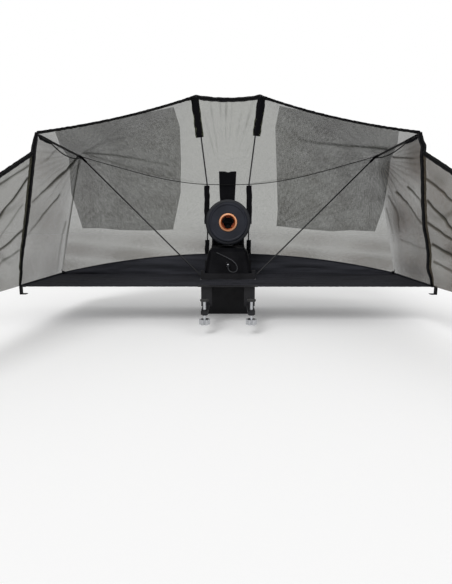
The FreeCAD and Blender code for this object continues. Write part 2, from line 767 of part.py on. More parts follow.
def hopper():
    front, back = "pivot_y - base_front", "pivot_y + base_back"
    half = "base_half_width + 2"
    outer = box("tub_outer", (f"-({half})", front, "-tub_depth"), (half, back, "base_rim"))
    inner = box(
        "tub_inner",
        (f"-({half}) + base_wall", f"{front} + base_wall", "-tub_depth + base_wall"),
        (f"{half} - base_wall", f"{back} - base_wall", "base_rim + 1"),
    )
    sill = box(
        "tub_sill",
        (f"-({half}) - 1", "pivot_y - inlet_front", "-sill_drop"),
        (f"{half} + 1", "pivot_y + inlet_back", "base_rim + 1"),
    )
    shaft = cylinder(
        "tub_bore", "4 + running", "10", ("0", "pivot_y - feed_ahead", "-tub_depth - 1")
    )
    blocks = []
    for side, low, high in (
        ("right", half, f"{half} + 14"),
        ("left", f"-({half}) - 14", f"-({half})"),
    ):
        blocks.append(
            box(
                f"socket_{side}",
                (low, f"{front} + 1", "socket_z - 28"),
                (high, f"{front} + 24", "socket_z + 16"),
            )
        )
    tub = joined("tub_joined", outer, *blocks)
    tub = cut("tub_cut", tub, inner, sill, shaft)
    doc.recompute()
    shape = tub.Shape
    for side in (-1, 1):
        foot, elbow = diagonal_ends(side)
        along = (elbow - foot).normalize()
        shape = shape.cut(Part.makeCylinder(size("rod_radius + running"), 60, foot, along))
    for name in [tub.Name, tub.Base.Name, tub.Tool.Name]:
        doc.removeObject(name)
    feature("hopper_tub", shape)

    # Bar behind the base that the uprights plug into.
    foot = size("upright_foot_x")
    depth = size("net_y + rod_radius + fitting_wall - pivot_y - base_back")
    y0 = size("pivot_y + base_back")
    bar = Part.makeBox(2 * foot + 24, depth, 42, Vector(-foot - 12, y0, size("upright_foot_z") - 8))
    for side in (-1, 1):
        at = Vector(side * foot, size("net_y"), size("upright_foot_z"))
        bar = bar.cut(Part.makeCylinder(size("rod_radius + running"), 60, at))
    feature("net_socket_bar", bar)


def feed():
    """Riser, feed star, its gears and motor."""
    floor = "-tub_depth + base_wall"
    riser = turned(
        "riser",
        (
            ("tube_bore", floor),
            ("tube_bore + tube_wall", floor),
            ("tube_bore + tube_wall", "base_top - 1"),
            ("tube_bore", "base_top - 1"),
        ),
        ("0", "pivot_y", "0"),
    )
    window = box(
        "riser_window",
        ("-tube_bore", "pivot_y - 40", f"{floor} - 1"),
        ("tube_bore", "pivot_y", f"{floor} + 46"),
    )
    keep(cut("riser_cut", riser, window), "feed_tube")

    star_z = size("-tub_depth + base_wall + 14")
    wide, root = size("star_radius"), 13
    fingers = 5
    corners = []
    for finger in range(fingers):
        for share, radius in ((-0.20, root), (-0.07, wide), (0.07, wide), (0.20, root)):
            angle = math.radians(90 + (finger + 0.5 + share) * 360 / fingers)
            corners.append(Vector(radius * math.cos(angle), radius * math.sin(angle), 0))
    star = Part.Face(Part.makePolygon(corners + corners[:1])).extrude(
        Vector(0, 0, size("star_width"))
    )
    star = star.fuse(Part.makeCylinder(14, size("star_width") + 8))
    shaft_end = star_z - size("-tub_depth - 21")
    star = star.fuse(Part.makeCylinder(4, shaft_end, Vector(0, 0, -shaft_end)))
    thing = feature("feed_star", star.removeSplitter())
    place(thing, ("0", "pivot_y - feed_ahead", f"{star_z}"))

    axis = ("0", "pivot_y - feed_ahead")
    module = size("pan_module")
    gear_z = "-tub_depth - 12"
    gear("feed_gear", FEED_TEETH, module, 4, (*axis, gear_z), "Z", 180)
    reach = f"pan_module * {(FEED_TEETH + FEED_PINION_TEETH) / 2}"
    half_step = 180 / FEED_PINION_TEETH
    pinion_at = (f"-({reach})", axis[1], gear_z)
    gear("feed_pinion", FEED_PINION_TEETH, module, 0, pinion_at, "Z", half_step, (2, -20))

    plate_z = "-tub_depth - 20"
    plate = box(
        "gear_plate_flat",
        ("-62", "pivot_y - feed_ahead - 34", plate_z),
        ("40", "pivot_y - feed_ahead + 34", f"{plate_z} + 4"),
    )
    posts = []
    for x in ("-56", "34"):
        for y in ("pivot_y - feed_ahead - 28", "pivot_y - feed_ahead + 28"):
            posts.append(cylinder(f"feed_post_{len(posts)}", "4", "20", (x, y, plate_z)))
    holes = [
        cylinder("gear_plate_bore", "4 + running", "10", (*axis, f"{plate_z} - 2")),
        cylinder("gear_plate_hole", "3", "10", (f"-({reach})", axis[1], f"{plate_z} - 2")),
    ]
    keep(cut("gear_plate_cut", joined("gear_plate_joined", plate, *posts), *holes), "gear_plate")

    motor_points = (
        ("2 + running", "0"),
        ("17", "0"),
        ("17", "-14"),
        ("14", "-14"),
        ("14", "-40"),
        ("0", "-40"),
        ("0", "-16"),
        ("2 + running", "-16"),
    )
    keep(turned("feed_motor_body", motor_points, (f"-({reach})", axis[1], plate_z)), "feed_motor")


def lower_case():
    top, low = "-tub_depth", "-tub_depth - case_depth"
    front, back = "pivot_y - base_front + 10", "pivot_y + base_back - 8"
    half = "case_half_width"
    outline = ((f"-{half}", front), (half, front), (half, back), (f"-{half}", back))
    case = padded("case_block", "XY_Plane", outline, "case_depth", ("0", "0", low), False)
    rounded(case, "case_edges", "12", is_upright)
    inner = box(
        "case_inner",
        (f"-{half} + base_wall", f"{front} + base_wall", f"{low} + base_wall"),
        (f"{half} - base_wall", f"{back} - base_wall", f"{top} + 1"),
    )
    inlet = cylinder("case_inlet", "7", "10", (f"{half} - 6", "pivot_y - 5", f"{low} + 35"), "X")
    window = box(
        "case_window",
        (f"{half} - 6", "pivot_y + 23", f"{low} + 28"),
        (f"{half} + 6", "pivot_y + 47", f"{low} + 42"),
    )
    keep(cut("case_cut", case, inner, inlet, window), "lower_case")

    inlet_points = (
        ("3", "0"),
        ("7", "0"),
        ("7", "9"),
        ("9", "9"),
        ("9", "11"),
        ("3", "11"),
    )
    at = (f"{half} - 9", "pivot_y - 5", f"{low} + 35")
    keep(turned("dc_socket", inlet_points, at, "X"), "power_inlet")

    # Rocker of the power switch: two flat faces that meet over the pivot.
    rocker_points = (("-4", "-11"), ("1.5", "-11"), ("0", "0"), ("4.5", "11"), ("-4", "11"))
    rocker = padded("rocker", "XY_Plane", rocker_points, "13", ("0", "0", "0"))
    place(rocker, (f"{half} - 1", "pivot_y + 35", f"{low} + 35"))
    keep(rocker, "power_rocker")

    board = box(
        "board",
        ("0", "pivot_y - 40", f"{low} + base_wall + 6"),
        (f"{half} - 22", "pivot_y + 50", f"{low} + base_wall + 8"),
    )
    feet = []
    for x in ("6", f"{half} - 28"):
        for y in ("pivot_y - 34", "pivot_y + 44"):
            at = (x, y, f"{low} + base_wall")
            feet.append(cylinder(f"board_post_{len(feet)}", "3", "7", at))
    chips = [
        box(
            "board_heat_sink",
            ("12", "pivot_y - 25", f"{low} + base_wall + 8"),
            ("42", "pivot_y + 5", f"{low} + base_wall + 20"),
        ),
        box(
            "board_relay",
            ("20", "pivot_y + 18", f"{low} + base_wall + 8"),
            ("38", "pivot_y + 33", f"{low} + base_wall + 22"),
        ),
    ]
    keep(joined("board_joined", board, *feet, *chips), "control_board")


def support():
    """Steel frame that hooks over the table end, with two screw clamps below it."""
    lip = box(
        "lip",
        ("-lip_half_width", "-lip_reach", "0"),
        ("lip_half_width", "lip_back", "lip_thickness"),
    )
    heel = box(
        "heel",
        ("-lip_half_width", "0", "-heel_drop"),
        ("lip_half_width", "lip_back", "lip_thickness / 2"),
    )
    pieces = [lip, heel]
    bores = []
    for side in ("", "-"):
        name = "left" if side else "right"
        low = f"{side}claw_x - claw_width / 2"
        high = f"{side}claw_x + claw_width / 2"
        plate_low = f"{side}claw_x - claw_width / 2 - 8"
        plate_high = f"{side}claw_x + claw_width / 2 + 8"
        arm_low = "-claw_top - claw_height"
        pieces.append(box(f"end_plate_{name}", (plate_low, "0", arm_low), (plate_high, "4", "lip_thickness / 2")))
        pieces.append(box(f"claw_{name}", (low, "-claw_reach", arm_low), (high, "2", "-claw_top")))
        rail_low = f"{side}claw_x - rail_width / 2"
        rail_high = f"{side}claw_x + rail_width / 2"
        pieces.append(
            box(
                f"rail_{name}",
                (rail_low, "2", "-table_thickness - 2 - rail_width"),
                (rail_high, "pivot_y - base_front", "-table_thickness - 2"),
            )
        )
        at = (f"{side}claw_x", "-screw_reach", f"{arm_low} - 4")
        pieces.append(cylinder(f"nut_{name}", "screw_radius + 5", "claw_height + 7", at))
        at = (f"{side}claw_x", "-screw_reach", "-150")
        bores.append(cylinder(f"nut_bore_{name}", "screw_radius + running", "140", at))
    keep(cut("support_cut", joined("support_joined", *pieces), *bores), "support_frame")

    for side in ("", "-"):
        name = "left" if side else "right"
        axis = (f"{side}claw_x", "-screw_reach")
        pad_points = (
            ("screw_radius + running", "-6"),
            ("14", "-6"),
            ("15", "-3"),
            ("15", "0"),
            ("0", "0"),
            ("0", "-3"),
            ("screw_radius + running", "-3"),
        )
        at = (*axis, "-table_thickness")
        keep(turned(f"pad_{name}", pad_points, at), f"clamp_pad_{name}")
        knob_low = "-claw_top - claw_height - 36"
        screw = cylinder(
            f"screw_{name}",
            "screw_radius",
            f"-table_thickness - 3 - ({knob_low}) - 2",
            (*axis, f"{knob_low} + 2"),
        )
        lobes = [cylinder(f"knob_core_{name}", "knob_radius - 5", "18", (*axis, knob_low))]
        for lobe in range(6):
            angle = lobe * 60
            at = (
                f"{side}claw_x + (knob_radius - 6) * cos({angle} deg)",
                f"-screw_reach + (knob_radius - 6) * sin({angle} deg)",
                knob_low,
            )
            lobes.append(cylinder(f"lobe_{name}_{lobe}", "6", "18", at))
        keep(joined(f"clamp_screw_{name}_joined", screw, *lobes), f"clamp_screw_{name}")


# Net: rods, cloth panels, bindings and fittings. Each pair is built for side -1 and 1.


def mirrored(side, point):
    return Vector(side * point.x, point.y, point.z)


def net_points(side):
    """Main corners of the net on one side."""
    y = size("net_y")
    points = {
        "foot": Vector(size("upright_foot_x"), y, size("upright_foot_z")),
        "knee": Vector(size("upright_foot_x"), y, size("knee_z")),
        "peak": Vector(size("peak_x"), size("peak_y"), size("peak_z")),
        "elbow": Vector(size("elbow_x"), y, size("elbow_z")),
        "corner": Vector(size("corner_x"), size("corner_y"), size("corner_z")),
        "table": Vector(size("table_half_width"), 0, 0),
        "tip": Vector(size("table_half_width + wing_spread"), -size("wing_reach"), 0),
    }
    # The side panel's plane holds the arm and the table corner. Its back edge lies in the
    # plane of the back panels, from the cloth's upper corner down to table height.
    elbow, corner = points["elbow"], points["corner"]
    normal = (corner - elbow).cross(points["table"] - elbow)
    behind = y + size("cloth_behind")
    upper = elbow + (elbow - corner) * ((behind - y) / (elbow.y - corner.y))
    across = normal.y * (behind - elbow.y) + normal.z * (0 - elbow.z)
    points["cloth_elbow"] = Vector(upper.x, behind, upper.z)
    points["back"] = Vector(elbow.x - across / normal.x, behind, 0)
    shift = Vector(0, size("cloth_behind"), 0)
    lift = Vector(0, 0, size("hood_above"))
    points["cloth_knee"] = points["knee"] + shift
    points["cloth_peak"] = points["peak"] + shift
    points["hood_elbow"] = points["cloth_elbow"] + lift
    points["hood_corner"] = corner + lift
    points["band_top"] = corner + (points["table"] - corner).normalize() * 12
    return {name: mirrored(side, point) for name, point in points.items()}


def diagonal_ends(side):
    """Foot and elbow of a diagonal rod."""
    foot = Vector(
        side * size("base_half_width + 9"),
        size("pivot_y - base_front + 12.5"),
        size("socket_z - 14"),
    )
    elbow = net_points(side)["elbow"]
    return foot, elbow


def rod(radius, points, trim=None):
    """Round rod along straight runs joined by arcs, which start at trim from each corner."""
    edges = []
    at = points[0]
    for i in range(1, len(points) - 1):
        before = (points[i] - points[i - 1]).normalize()
        after = (points[i + 1] - points[i]).normalize()
        half_turn = before.getAngle(after) / 2
        run = min((points[i] - points[i - 1]).Length, (points[i + 1] - points[i]).Length)
        back = 0.45 * run if trim is None else trim
        start, end = points[i] - before * back, points[i] + after * back
        bend = back / math.tan(half_turn)
        print(f"arc radius {bend:.0f}, turn {math.degrees(2 * half_turn):.1f}")
        inward = (after - before).normalize()
        middle = points[i] + inward * (bend / math.cos(half_turn) - bend)
        edges.append(Part.LineSegment(at, start).toShape())
        edges.append(Part.Arc(start, middle, end).toShape())
        at = end
    edges.append(Part.LineSegment(at, points[-1]).toShape())
    path = Part.Wire(edges)
    circle = Part.Wire(Part.Circle(points[0], points[1] - points[0], radius).toShape())
    return path.makePipeShell([circle], True, False)


def group(node, shapes):
    """One node with several separate solids."""
    return feature(node, Part.makeCompound(shapes))


def net_rods():
    uprights, diagonals, arms, elbows = [], [], [], []
    radius = size("rod_radius")
    for side in (-1, 1):
        p = net_points(side)
        uprights.append(rod(radius, [p["foot"], p["knee"], p["peak"]], 12))
        foot, elbow = diagonal_ends(side)
        along = (elbow - foot).normalize()
        diagonals.append(Part.makeCylinder(radius, (elbow - foot).Length - 6, foot, along))
        arm_radius = size("arm_rod_radius")
        forward = (p["corner"] - p["elbow"]).normalize()
        length = (p["corner"] - p["elbow"]).Length
        arms.append(Part.makeCylinder(arm_radius, length - 6, p["elbow"] + forward * 6, forward))
        outer = arm_radius + size("fitting_wall")
        fitting = Part.makeSphere(outer, p["elbow"])
        fitting = fitting.fuse(Part.makeCylinder(outer, 34, p["elbow"], forward))
        fitting = fitting.fuse(Part.makeCylinder(radius + 2, 34, p["elbow"], along * -1))
        fitting = fitting.cut(
            Part.makeCylinder(arm_radius + size("running"), length, p["elbow"] + forward * 6, forward)
        )
        fitting = fitting.cut(
            Part.makeCylinder(radius + size("running"), 100, p["elbow"] - along * 6, along * -1)
        )
        elbows.append(fitting)
    group("upright_rods", uprights)
    group("diagonal_rods", diagonals)
    group("side_arm_rods", arms)
    group("net_elbows", elbows)


def inset(corners, distance, normal):
    """Flat polygon whose edges are moved inwards, by one distance or by one for each edge."""
    count = len(corners)
    distances = distance if isinstance(distance, list) else [distance] * count
    lines = []
    middle = sum(corners, Vector()) * (1 / count)
    for i in range(count):
        along = (corners[(i + 1) % count] - corners[i]).normalize()
        inward = normal.cross(along).normalize()
        if inward.dot(middle - corners[i]) < 0:
            inward = inward * -1
        lines.append((corners[i] + inward * distances[i], along))
    result = []
    for i in range(count):
        (a, u), (b, v) = lines[i - 1], lines[i]
        cross = u.cross(v)
        t = (b - a).cross(v).dot(cross) / cross.dot(cross)
        result.append(a + u * t)
    return result


def panel(corners, holes=True, gap=None, lift=0.0, towards=None):
    """Flat cloth between coplanar corners, with square gaps if it is mesh.

    The cloth is moved along its normal by lift, on the side of the point towards."""
    gap = size("clearance") if gap is None else gap
    u = (corners[1] - corners[0]).normalize()
    normal = u.cross(corners[-1] - corners[0]).normalize()
    if towards is not None and normal.dot(towards - corners[0]) < 0:
        normal = normal * -1
    v = normal.cross(u)
    if v.dot(corners[-1] - corners[0]) < 0:
        v = v * -1
    edge = inset(corners, gap, normal)
    wires = [Part.makePolygon(edge + edge[:1])]
    if holes:
        pitch, strand = size("mesh_pitch"), size("mesh_strand")
        safe = inset(corners, size("mesh_hem"), normal)
        face = Part.Face(Part.makePolygon(safe + safe[:1]))
        flat = [(p - corners[0]) for p in safe]
        low_u, high_u = min(p.dot(u) for p in flat), max(p.dot(u) for p in flat)
        low_v, high_v = min(p.dot(v) for p in flat), max(p.dot(v) for p in flat)
        side = pitch - strand
        for i in range(int((high_u - low_u) / pitch)):
            for j in range(int((high_v - low_v) / pitch)):
                start = corners[0] + u * (low_u + i * pitch) + v * (low_v + j * pitch)
                square = [start, start + u * side, start + (u + v) * side, start + v * side]
                if all(face.isInside(p, 0.01, True) for p in square):
                    wires.append(Part.makePolygon(square + square[:1]))
    cloth = Part.makeFace(wires, "Part::FaceMakerCheese").extrude(normal * size("fabric"))
    cloth.translate(normal * lift)
    return cloth, len(wires) - 1


def strip(start, end, width, normal, lift=0.0, inward=None, share=0.5):
    """Flat band from start to end. share of its width lies on the inward side."""
    along = (end - start).normalize()
    across = normal.cross(along).normalize()
    if inward is not None and across.dot(inward - start) < 0:
        across = across * -1
    a = across * (width * share)
    b = across * (width * (share - 1))
    face = Part.Face(Part.makePolygon([start + b, end + b, end + a, start + a, start + b]))
    band = face.extrude(normal * size("fabric"))
    band.translate(normal * lift)
    return band


def seam_point(x):
    """Point of the tray wall's top seam, which is an arc from corner to corner."""
    half = net_points(1)["back"].x
    top, low = size("seam_z"), 4.0
    radius = (half**2 + (top - low) ** 2) / (2 * (top - low))
    return Vector(x, cloth_y(), top - radius + math.sqrt(radius**2 - x**2))


def cloth_y():
    """Front face of the mesh behind the uprights."""
    return size("net_y + cloth_behind")


CLIP_JAW = 3
OUTSIDE = Vector(0, 900, 900)
INSIDE = Vector(0, 150, 250)


def net_cloth():
    """Mesh panels, double mesh patches and the opaque tray."""
    gaps = {}
    close = size("clearance")
    # Along an arm the side panels stop below the arm's sleeve.
    below_arm = size("arm_rod_radius + fitting_wall") + 3
    backs, sides, wings, hood = [], [], [], []

    def add(name, pieces, corners, gap, towards):
        cloth, count = panel(corners, gap=gap, towards=towards)
        pieces.append(cloth)
        gaps[name] = gaps.get(name, 0) + count

    for side in (-1, 1):
        p = net_points(side)
        seam = [seam_point(side * x) for x in (600.0, 350.0, size("upright_foot_x"))]
        low = Vector(p["back"].x, cloth_y(), 4.0)
        corners = [seam[2], p["cloth_knee"], p["cloth_elbow"], low, seam[0], seam[1]]
        add("back", backs, corners, close, OUTSIDE)
        corners = [p["back"], p["cloth_elbow"], p["corner"], p["table"]]
        beside = Vector(side * 2000, 150, 250)
        add("sides", sides, corners, [close, below_arm, close, close], beside)
        start = p["corner"] + (p["table"] - p["corner"]) * size("wing_start")
        add("wings", wings, [p["table"], start, p["tip"]], [close, close, CLIP_JAW + close], beside)
        add("hood", hood, [p["cloth_knee"], p["hood_elbow"], p["cloth_peak"]], close, OUTSIDE)
        add("hood", hood, [p["hood_elbow"], p["hood_corner"], p["cloth_peak"]], close, OUTSIDE)

    left, right = net_points(-1), net_points(1)
    seam, half = size("seam_z"), size("upright_foot_x")
    corners = [
        Vector(-half, cloth_y(), seam),
        Vector(half, cloth_y(), seam),
        right["cloth_knee"],
        left["cloth_knee"],
    ]
    add("back", backs, corners, close, OUTSIDE)
    corners = [left["cloth_knee"], right["cloth_knee"], right["cloth_peak"], left["cloth_peak"]]
    add("hood", hood, corners, close, OUTSIDE)
    group("net_back", backs)
    group("net_sides", sides)
    group("net_wings", wings)
    group("net_hood", hood)

    patches = []
    for side in (-1, 1):
        outline = ((245, 212), (640, 200), (640, 410), (215, 400))
        corners = [Vector(side * x, cloth_y(), z) for x, z in outline]
        cloth, _ = panel(corners, holes=False, lift=close, towards=INSIDE)
        patches.append(cloth)
    group("dense_patches", patches)

    # The tray floor leaves room for the base and for the support at the table end.
    floor_z = -close - size("fabric")
    half = size("base_half_width + 16") + 1
    front, back = size("pivot_y - base_front") - 1, cloth_y()
    plate = size("lip_half_width") + 1
    right_edge = [
        Vector(plate, size("lip_back") + close, floor_z),
        Vector(plate, 1, floor_z),
        Vector(right["table"].x, 1, floor_z),
        Vector(right["back"].x, back, floor_z),
        Vector(half, back, floor_z),
        Vector(half, front, floor_z),
    ]
    outline = right_edge + [mirrored(-1, point) for point in reversed(right_edge)]
    face = Part.Face(Part.makePolygon(outline + outline[:1]))
    feature("tray_floor", face.extrude(Vector(0, 0, size("fabric"))))

    # Tray wall: upright opaque cloth below the arched seam, in front of the mesh.
    end = right["back"].x - 1
    ends = seam_point(-end), seam_point(end)
    low = [Vector(end, back, close), Vector(-end, back, close)]
    arc = Part.Arc(ends[0], seam_point(0.0), ends[1]).toShape()
    rest = Part.makePolygon([ends[1], *low, ends[0]])
    face = Part.Face(Part.Wire([arc, *rest.Edges]))
    wall = face.extrude(Vector(0, -size("fabric"), 0))
    wall.translate(Vector(0, -close, 0))
    feature("tray_wall", wall)
    print("gaps in the net panels:", gaps)


def facing(normal, point, towards):
    """The normal, turned if needed to the side of a plane where a point lies."""
    return normal if normal.dot(towards - point) > 0 else normal * -1


def net_trim():
    """Bindings, bands, rod sleeves, strap, cord and the clips at the table."""
    width, band = size("binding_width"), size("band_width")
    above = size("fabric + clearance")
    clear = size("clearance")
    edges, wings, clips, sleeves = [], [], [], []
    for side in (-1, 1):
        p = net_points(side)
        peak, elbow, corner = p["cloth_peak"], p["hood_elbow"], p["hood_corner"]
        normal = facing((corner - elbow).cross(peak - elbow).normalize(), elbow, OUTSIDE)
        edges.append(strip(corner, peak, width, normal, above, elbow, 0.8))
        normal = (p["table"] - p["corner"]).cross(p["back"] - p["table"]).normalize()
        normal = facing(normal, p["table"], INSIDE)
        low = p["table"] + (p["corner"] - p["table"]).normalize() * 10
        edges.append(strip(low, p["band_top"], band, normal, clear, p["back"], 0.5))
        start = p["corner"] + (p["table"] - p["corner"]) * size("wing_start")
        normal = (start - p["table"]).cross(p["tip"] - p["table"]).normalize()
        normal = facing(normal, p["table"], INSIDE)
        along = (p["tip"] - start).normalize()
        begin = start + along * (band / 2 + width + 5)
        finish = p["tip"] - along * (2 * width)
        wings.append(strip(begin, finish, width, normal, clear, p["table"], 0.95))
        clips.append(table_clip(side, -20 - clear, 4))
        clips.append(table_clip(side, p["tip"].y + 4, 4 + size("wing_spread")))
        for start, end, across in (
            (0.52, 0.985, size("pocket_width")),
            (197, 366, size("pocket_width") - 9),
            (64, 124, size("pocket_width") - 14),
        ):
            if end < 1:
                lean = p["peak"] - p["knee"]
                a, b = p["knee"] + lean * start, p["knee"] + lean * end
            else:
                a, b = p["foot"] + Vector(0, 0, start), p["foot"] + Vector(0, 0, end)
            behind = size("cloth_behind") * (b - a).normalize().z - clear
            sleeves.append(sleeve(a, b, across, size("rod_radius"), behind))
        reach = p["corner"] - p["elbow"]
        start = p["elbow"] + reach * 0.8
        top = size("hood_above") - 1
        sleeves.append(sleeve(start, p["corner"], 20, size("arm_rod_radius"), top))
    left, right = net_points(-1), net_points(1)
    normal = (right["peak"] - left["peak"]).cross(left["knee"] - left["peak"]).normalize()
    normal = facing(normal, left["peak"], OUTSIDE)
    start, end = left["cloth_peak"] + Vector(12, 0, 0), right["cloth_peak"] - Vector(12, 0, 0)
    edges.append(strip(start, end, width, normal, above, left["cloth_knee"], 0.8))
    group("edge_bindings", edges)
    group("wing_bindings", wings)
    group("table_clips", clips)
    group("rod_sleeves", sleeves)

    # The strap lies on the middle of the mesh and leans forward above the knees.
    knee, peak = left["cloth_knee"], left["cloth_peak"]
    thick, low, top = 2.5, size("seam_z") + 2, size("strap_top")
    lean = (peak.y - knee.y) / (peak.z - knee.z)
    back, front = cloth_y() - clear, cloth_y() - clear - thick
    top_shift = (top - knee.z) * lean
    profile = [
        Vector(0, front, low),
        Vector(0, back, low),
        Vector(0, back, knee.z - 3),
        Vector(0, back + top_shift - 1, top),
        Vector(0, front + top_shift - 1, top),
        Vector(0, front, knee.z - 3),
    ]
    half = size("strap_width") / 2
    strap = Part.Face(Part.makePolygon(profile + profile[:1])).extrude(Vector(2 * half, 0, 0))
    strap.translate(Vector(-half, 0, 0))
    feature("centre_strap", strap)

    route = cord_route()
    cord = rod(size("cord_radius"), route)
    length = sum((b - a).Length for a, b in zip(route, route[1:]))
    volume = math.pi * size("cord_radius") ** 2 * length
    print(f"tension cord: length {length:.0f}, volume {cord.Volume:.0f} against {volume:.0f}")
    feature("tension_cord", cord)


def cord_route():
    """Route of the taut cord from elbow to elbow, in front of the uprights."""
    y = size("net_y - rod_radius - 1.3 - clearance - cord_radius")
    end = Vector(size("elbow_x") - 8, y, size("elbow_z") - 1)
    return [
        mirrored(-1, end),
        Vector(-352, y, 434),
        Vector(-190, y, 402),
        Vector(-93, y, 393),
        Vector(93, y, 393),
        Vector(220, y, 408),
        Vector(390, y, 446),
        end,
    ]


def sleeve(start, end, across, rod_radius, towards_cloth):
    """Flat cloth tube sewn round a rod, thicker on the side where the net's cloth lies."""
    along = (end - start).normalize()
    wide = (Vector(1, 0, 0) - along * along.x).normalize()
    deep = facing(along.cross(wide).normalize(), Vector(), OUTSIDE)
    near = rod_radius + 1.3
    side = wide * (across / 2)
    a = start - side - deep * near
    b = start + side - deep * near
    c = start + side + deep * towards_cloth
    d = start - side + deep * towards_cloth
    block = Part.Face(Part.makePolygon([a, b, c, d, a])).extrude(end - start)
    bore = Part.makeCylinder(
        rod_radius + size("clearance") / 2, (end - start).Length + 2, start - along, along
    )
    return block.cut(bore)


def table_clip(side, start, outward):
    """U-shaped clip that grips the table's side edge and carries a corner of the net."""
    thick, grip, width = size("table_thickness"), 18, 20
    jaw = CLIP_JAW
    low = Vector(-grip, start, -thick - jaw)
    outer = Part.makeBox(grip + outward, width, thick + 2 * jaw, low)
    slot = Part.makeBox(grip + 1, width + 2, thick + 0.3, Vector(-grip - 1, start - 1, -thick - 0.3))
    clip = outer.cut(slot)
    clip.translate(Vector(size("table_half_width"), 0, 0))
    if side < 0:
        clip = clip.mirror(Vector(), Vector(1, 0, 0))
    return clip


def head_lead():
    """Short lead from the base's shoulder to the round connector on its front."""
    front = size("pivot_y - base_front")
    slope = 17 / size("base_top - shoulder_drop - base_rim")
    radius = 2.5

    def ahead(x, z, out):
        """Point in front of the sloping cover."""
        return Vector(x, front + (z - size("base_rim")) * slope - radius - out, z)

    low, high = size("base_rim") + 45, size("base_top - shoulder_drop") - 3
    step = (high - low) / 4
    route = [
        ahead(-48, high, 0.3),
        ahead(-26, high - step, 1.5),
        ahead(-4, high - 2 * step, 2.0),
        ahead(16, high - 3 * step, 3.5),
        ahead(32, low - 3, 9.0),
        ahead(40, low - 20, 20.0),
        ahead(34, low - 34, 34.0),
        ahead(14, low - 36, 46.0),
        ahead(0, low - 24, 42.0),
        ahead(0, low - 14, 20.0),
    ]
    lead = rod(radius, route)
    feature("head_lead", lead)
    length = sum((b - a).Length for a, b in zip(route, route[1:]))
    print(f"head lead: length {length:.0f}, volume {lead.Volume:.0f}")
    end = route[-1]
    forward = (route[-1] - route[-2]).normalize()
    plug = Part.makeCylinder(5, 12, end, forward)
    plug = plug.fuse(Part.makeCylinder(6.5, 30, end + forward * 9, forward))
    plug = plug.cut(bell(-size("clearance") / 3))
    feature("lead_plug", plug)


build_steps = (
    head_shells,
    head_rear,
    ball_deflector,
    throwing_gear,
    tilt_drive,
    yoke,
    pan_drive,
    base_cover,
    hopper,
    feed,
    lower_case,
    support,
    net_rods,
    net_cloth,
    net_trim,
    head_lead,
)
for step in build_steps:
    step()
doc.recompute()

for thing in doc.Objects:
    if {"Invalid", "Error"} & set(thing.State):
        raise RuntimeError(f"{thing.Label} failed: {thing.State}")
os.makedirs("parts", exist_ok=True)
for thing in nodes:
    shape = thing.Shape
    if shape.isNull() or not shape.isValid() or not shape.Solids:
        raise RuntimeError(f"{thing.Label} has no valid solid")
    shape.exportStep(f"parts/{thing.Label}.step")
    box_size = shape.BoundBox
    print(
        f"{thing.Label}: {len(shape.Solids)} solid(s), volume {shape.Volume:.0f}, "
        f"z {box_size.ZMin:.1f} to {box_size.ZMax:.1f}"
    )
print(len(nodes), "nodes")
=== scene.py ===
"""Looks of the table tennis robot: cloth, cords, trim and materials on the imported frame."""
import json
import math

import bpy
import numpy as np
from mathutils import Matrix, Vector
from mathutils.bvhtree import BVHTree


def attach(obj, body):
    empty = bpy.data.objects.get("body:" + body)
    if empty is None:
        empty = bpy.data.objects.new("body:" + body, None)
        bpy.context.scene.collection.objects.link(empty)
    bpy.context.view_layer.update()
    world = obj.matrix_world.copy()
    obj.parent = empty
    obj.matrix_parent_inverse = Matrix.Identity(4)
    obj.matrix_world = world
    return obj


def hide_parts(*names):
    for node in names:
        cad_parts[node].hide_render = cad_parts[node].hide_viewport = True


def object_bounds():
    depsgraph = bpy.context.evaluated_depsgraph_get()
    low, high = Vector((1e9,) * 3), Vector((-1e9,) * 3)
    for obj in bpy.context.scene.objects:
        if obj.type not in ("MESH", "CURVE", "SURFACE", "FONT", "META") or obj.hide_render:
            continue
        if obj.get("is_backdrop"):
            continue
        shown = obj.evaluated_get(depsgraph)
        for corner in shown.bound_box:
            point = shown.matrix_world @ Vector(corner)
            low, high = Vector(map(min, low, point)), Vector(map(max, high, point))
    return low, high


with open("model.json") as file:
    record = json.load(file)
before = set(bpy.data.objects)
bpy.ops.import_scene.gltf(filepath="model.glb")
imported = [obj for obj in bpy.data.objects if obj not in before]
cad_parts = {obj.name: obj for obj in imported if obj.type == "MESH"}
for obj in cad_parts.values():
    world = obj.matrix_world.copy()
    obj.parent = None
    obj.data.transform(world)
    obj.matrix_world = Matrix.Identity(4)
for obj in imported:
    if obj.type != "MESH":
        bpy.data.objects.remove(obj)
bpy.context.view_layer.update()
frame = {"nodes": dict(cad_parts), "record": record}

MM = 0.001
BASE = "base"
SIDES = ((-1, "left"), (1, "right"))

# Camera: worked out from the table's corners and the net's size in the photograph.

EYE = np.array([0.0, -1578.0, 232.0])
FOCAL, MIDDLE = 430.0, np.array([226.0, 292.0])
PHOTO_WIDTH, SENSOR = 452, 36
PITCH, TURN = math.atan2(69, FOCAL), math.atan2(-2, FOCAL)
AHEAD = np.array(
    [math.sin(TURN) * math.cos(PITCH), math.cos(TURN) * math.cos(PITCH), -math.sin(PITCH)]
)
RIGHT = np.array([math.cos(TURN), -math.sin(TURN), 0.0])
DOWN = -np.cross(RIGHT, AHEAD)


def pixels(points):
    """Place in the photograph of points in mm."""
    v = np.asarray(points, float) - EYE
    depth = v @ AHEAD
    return np.stack([v @ RIGHT, v @ DOWN], -1) / depth[..., None] * FOCAL + MIDDLE


def sight(px, py):
    """Direction from the eye through a place in the photograph."""
    d = AHEAD + RIGHT * (px - MIDDLE[0]) / FOCAL + DOWN * (py - MIDDLE[1]) / FOCAL
    return d / np.linalg.norm(d)


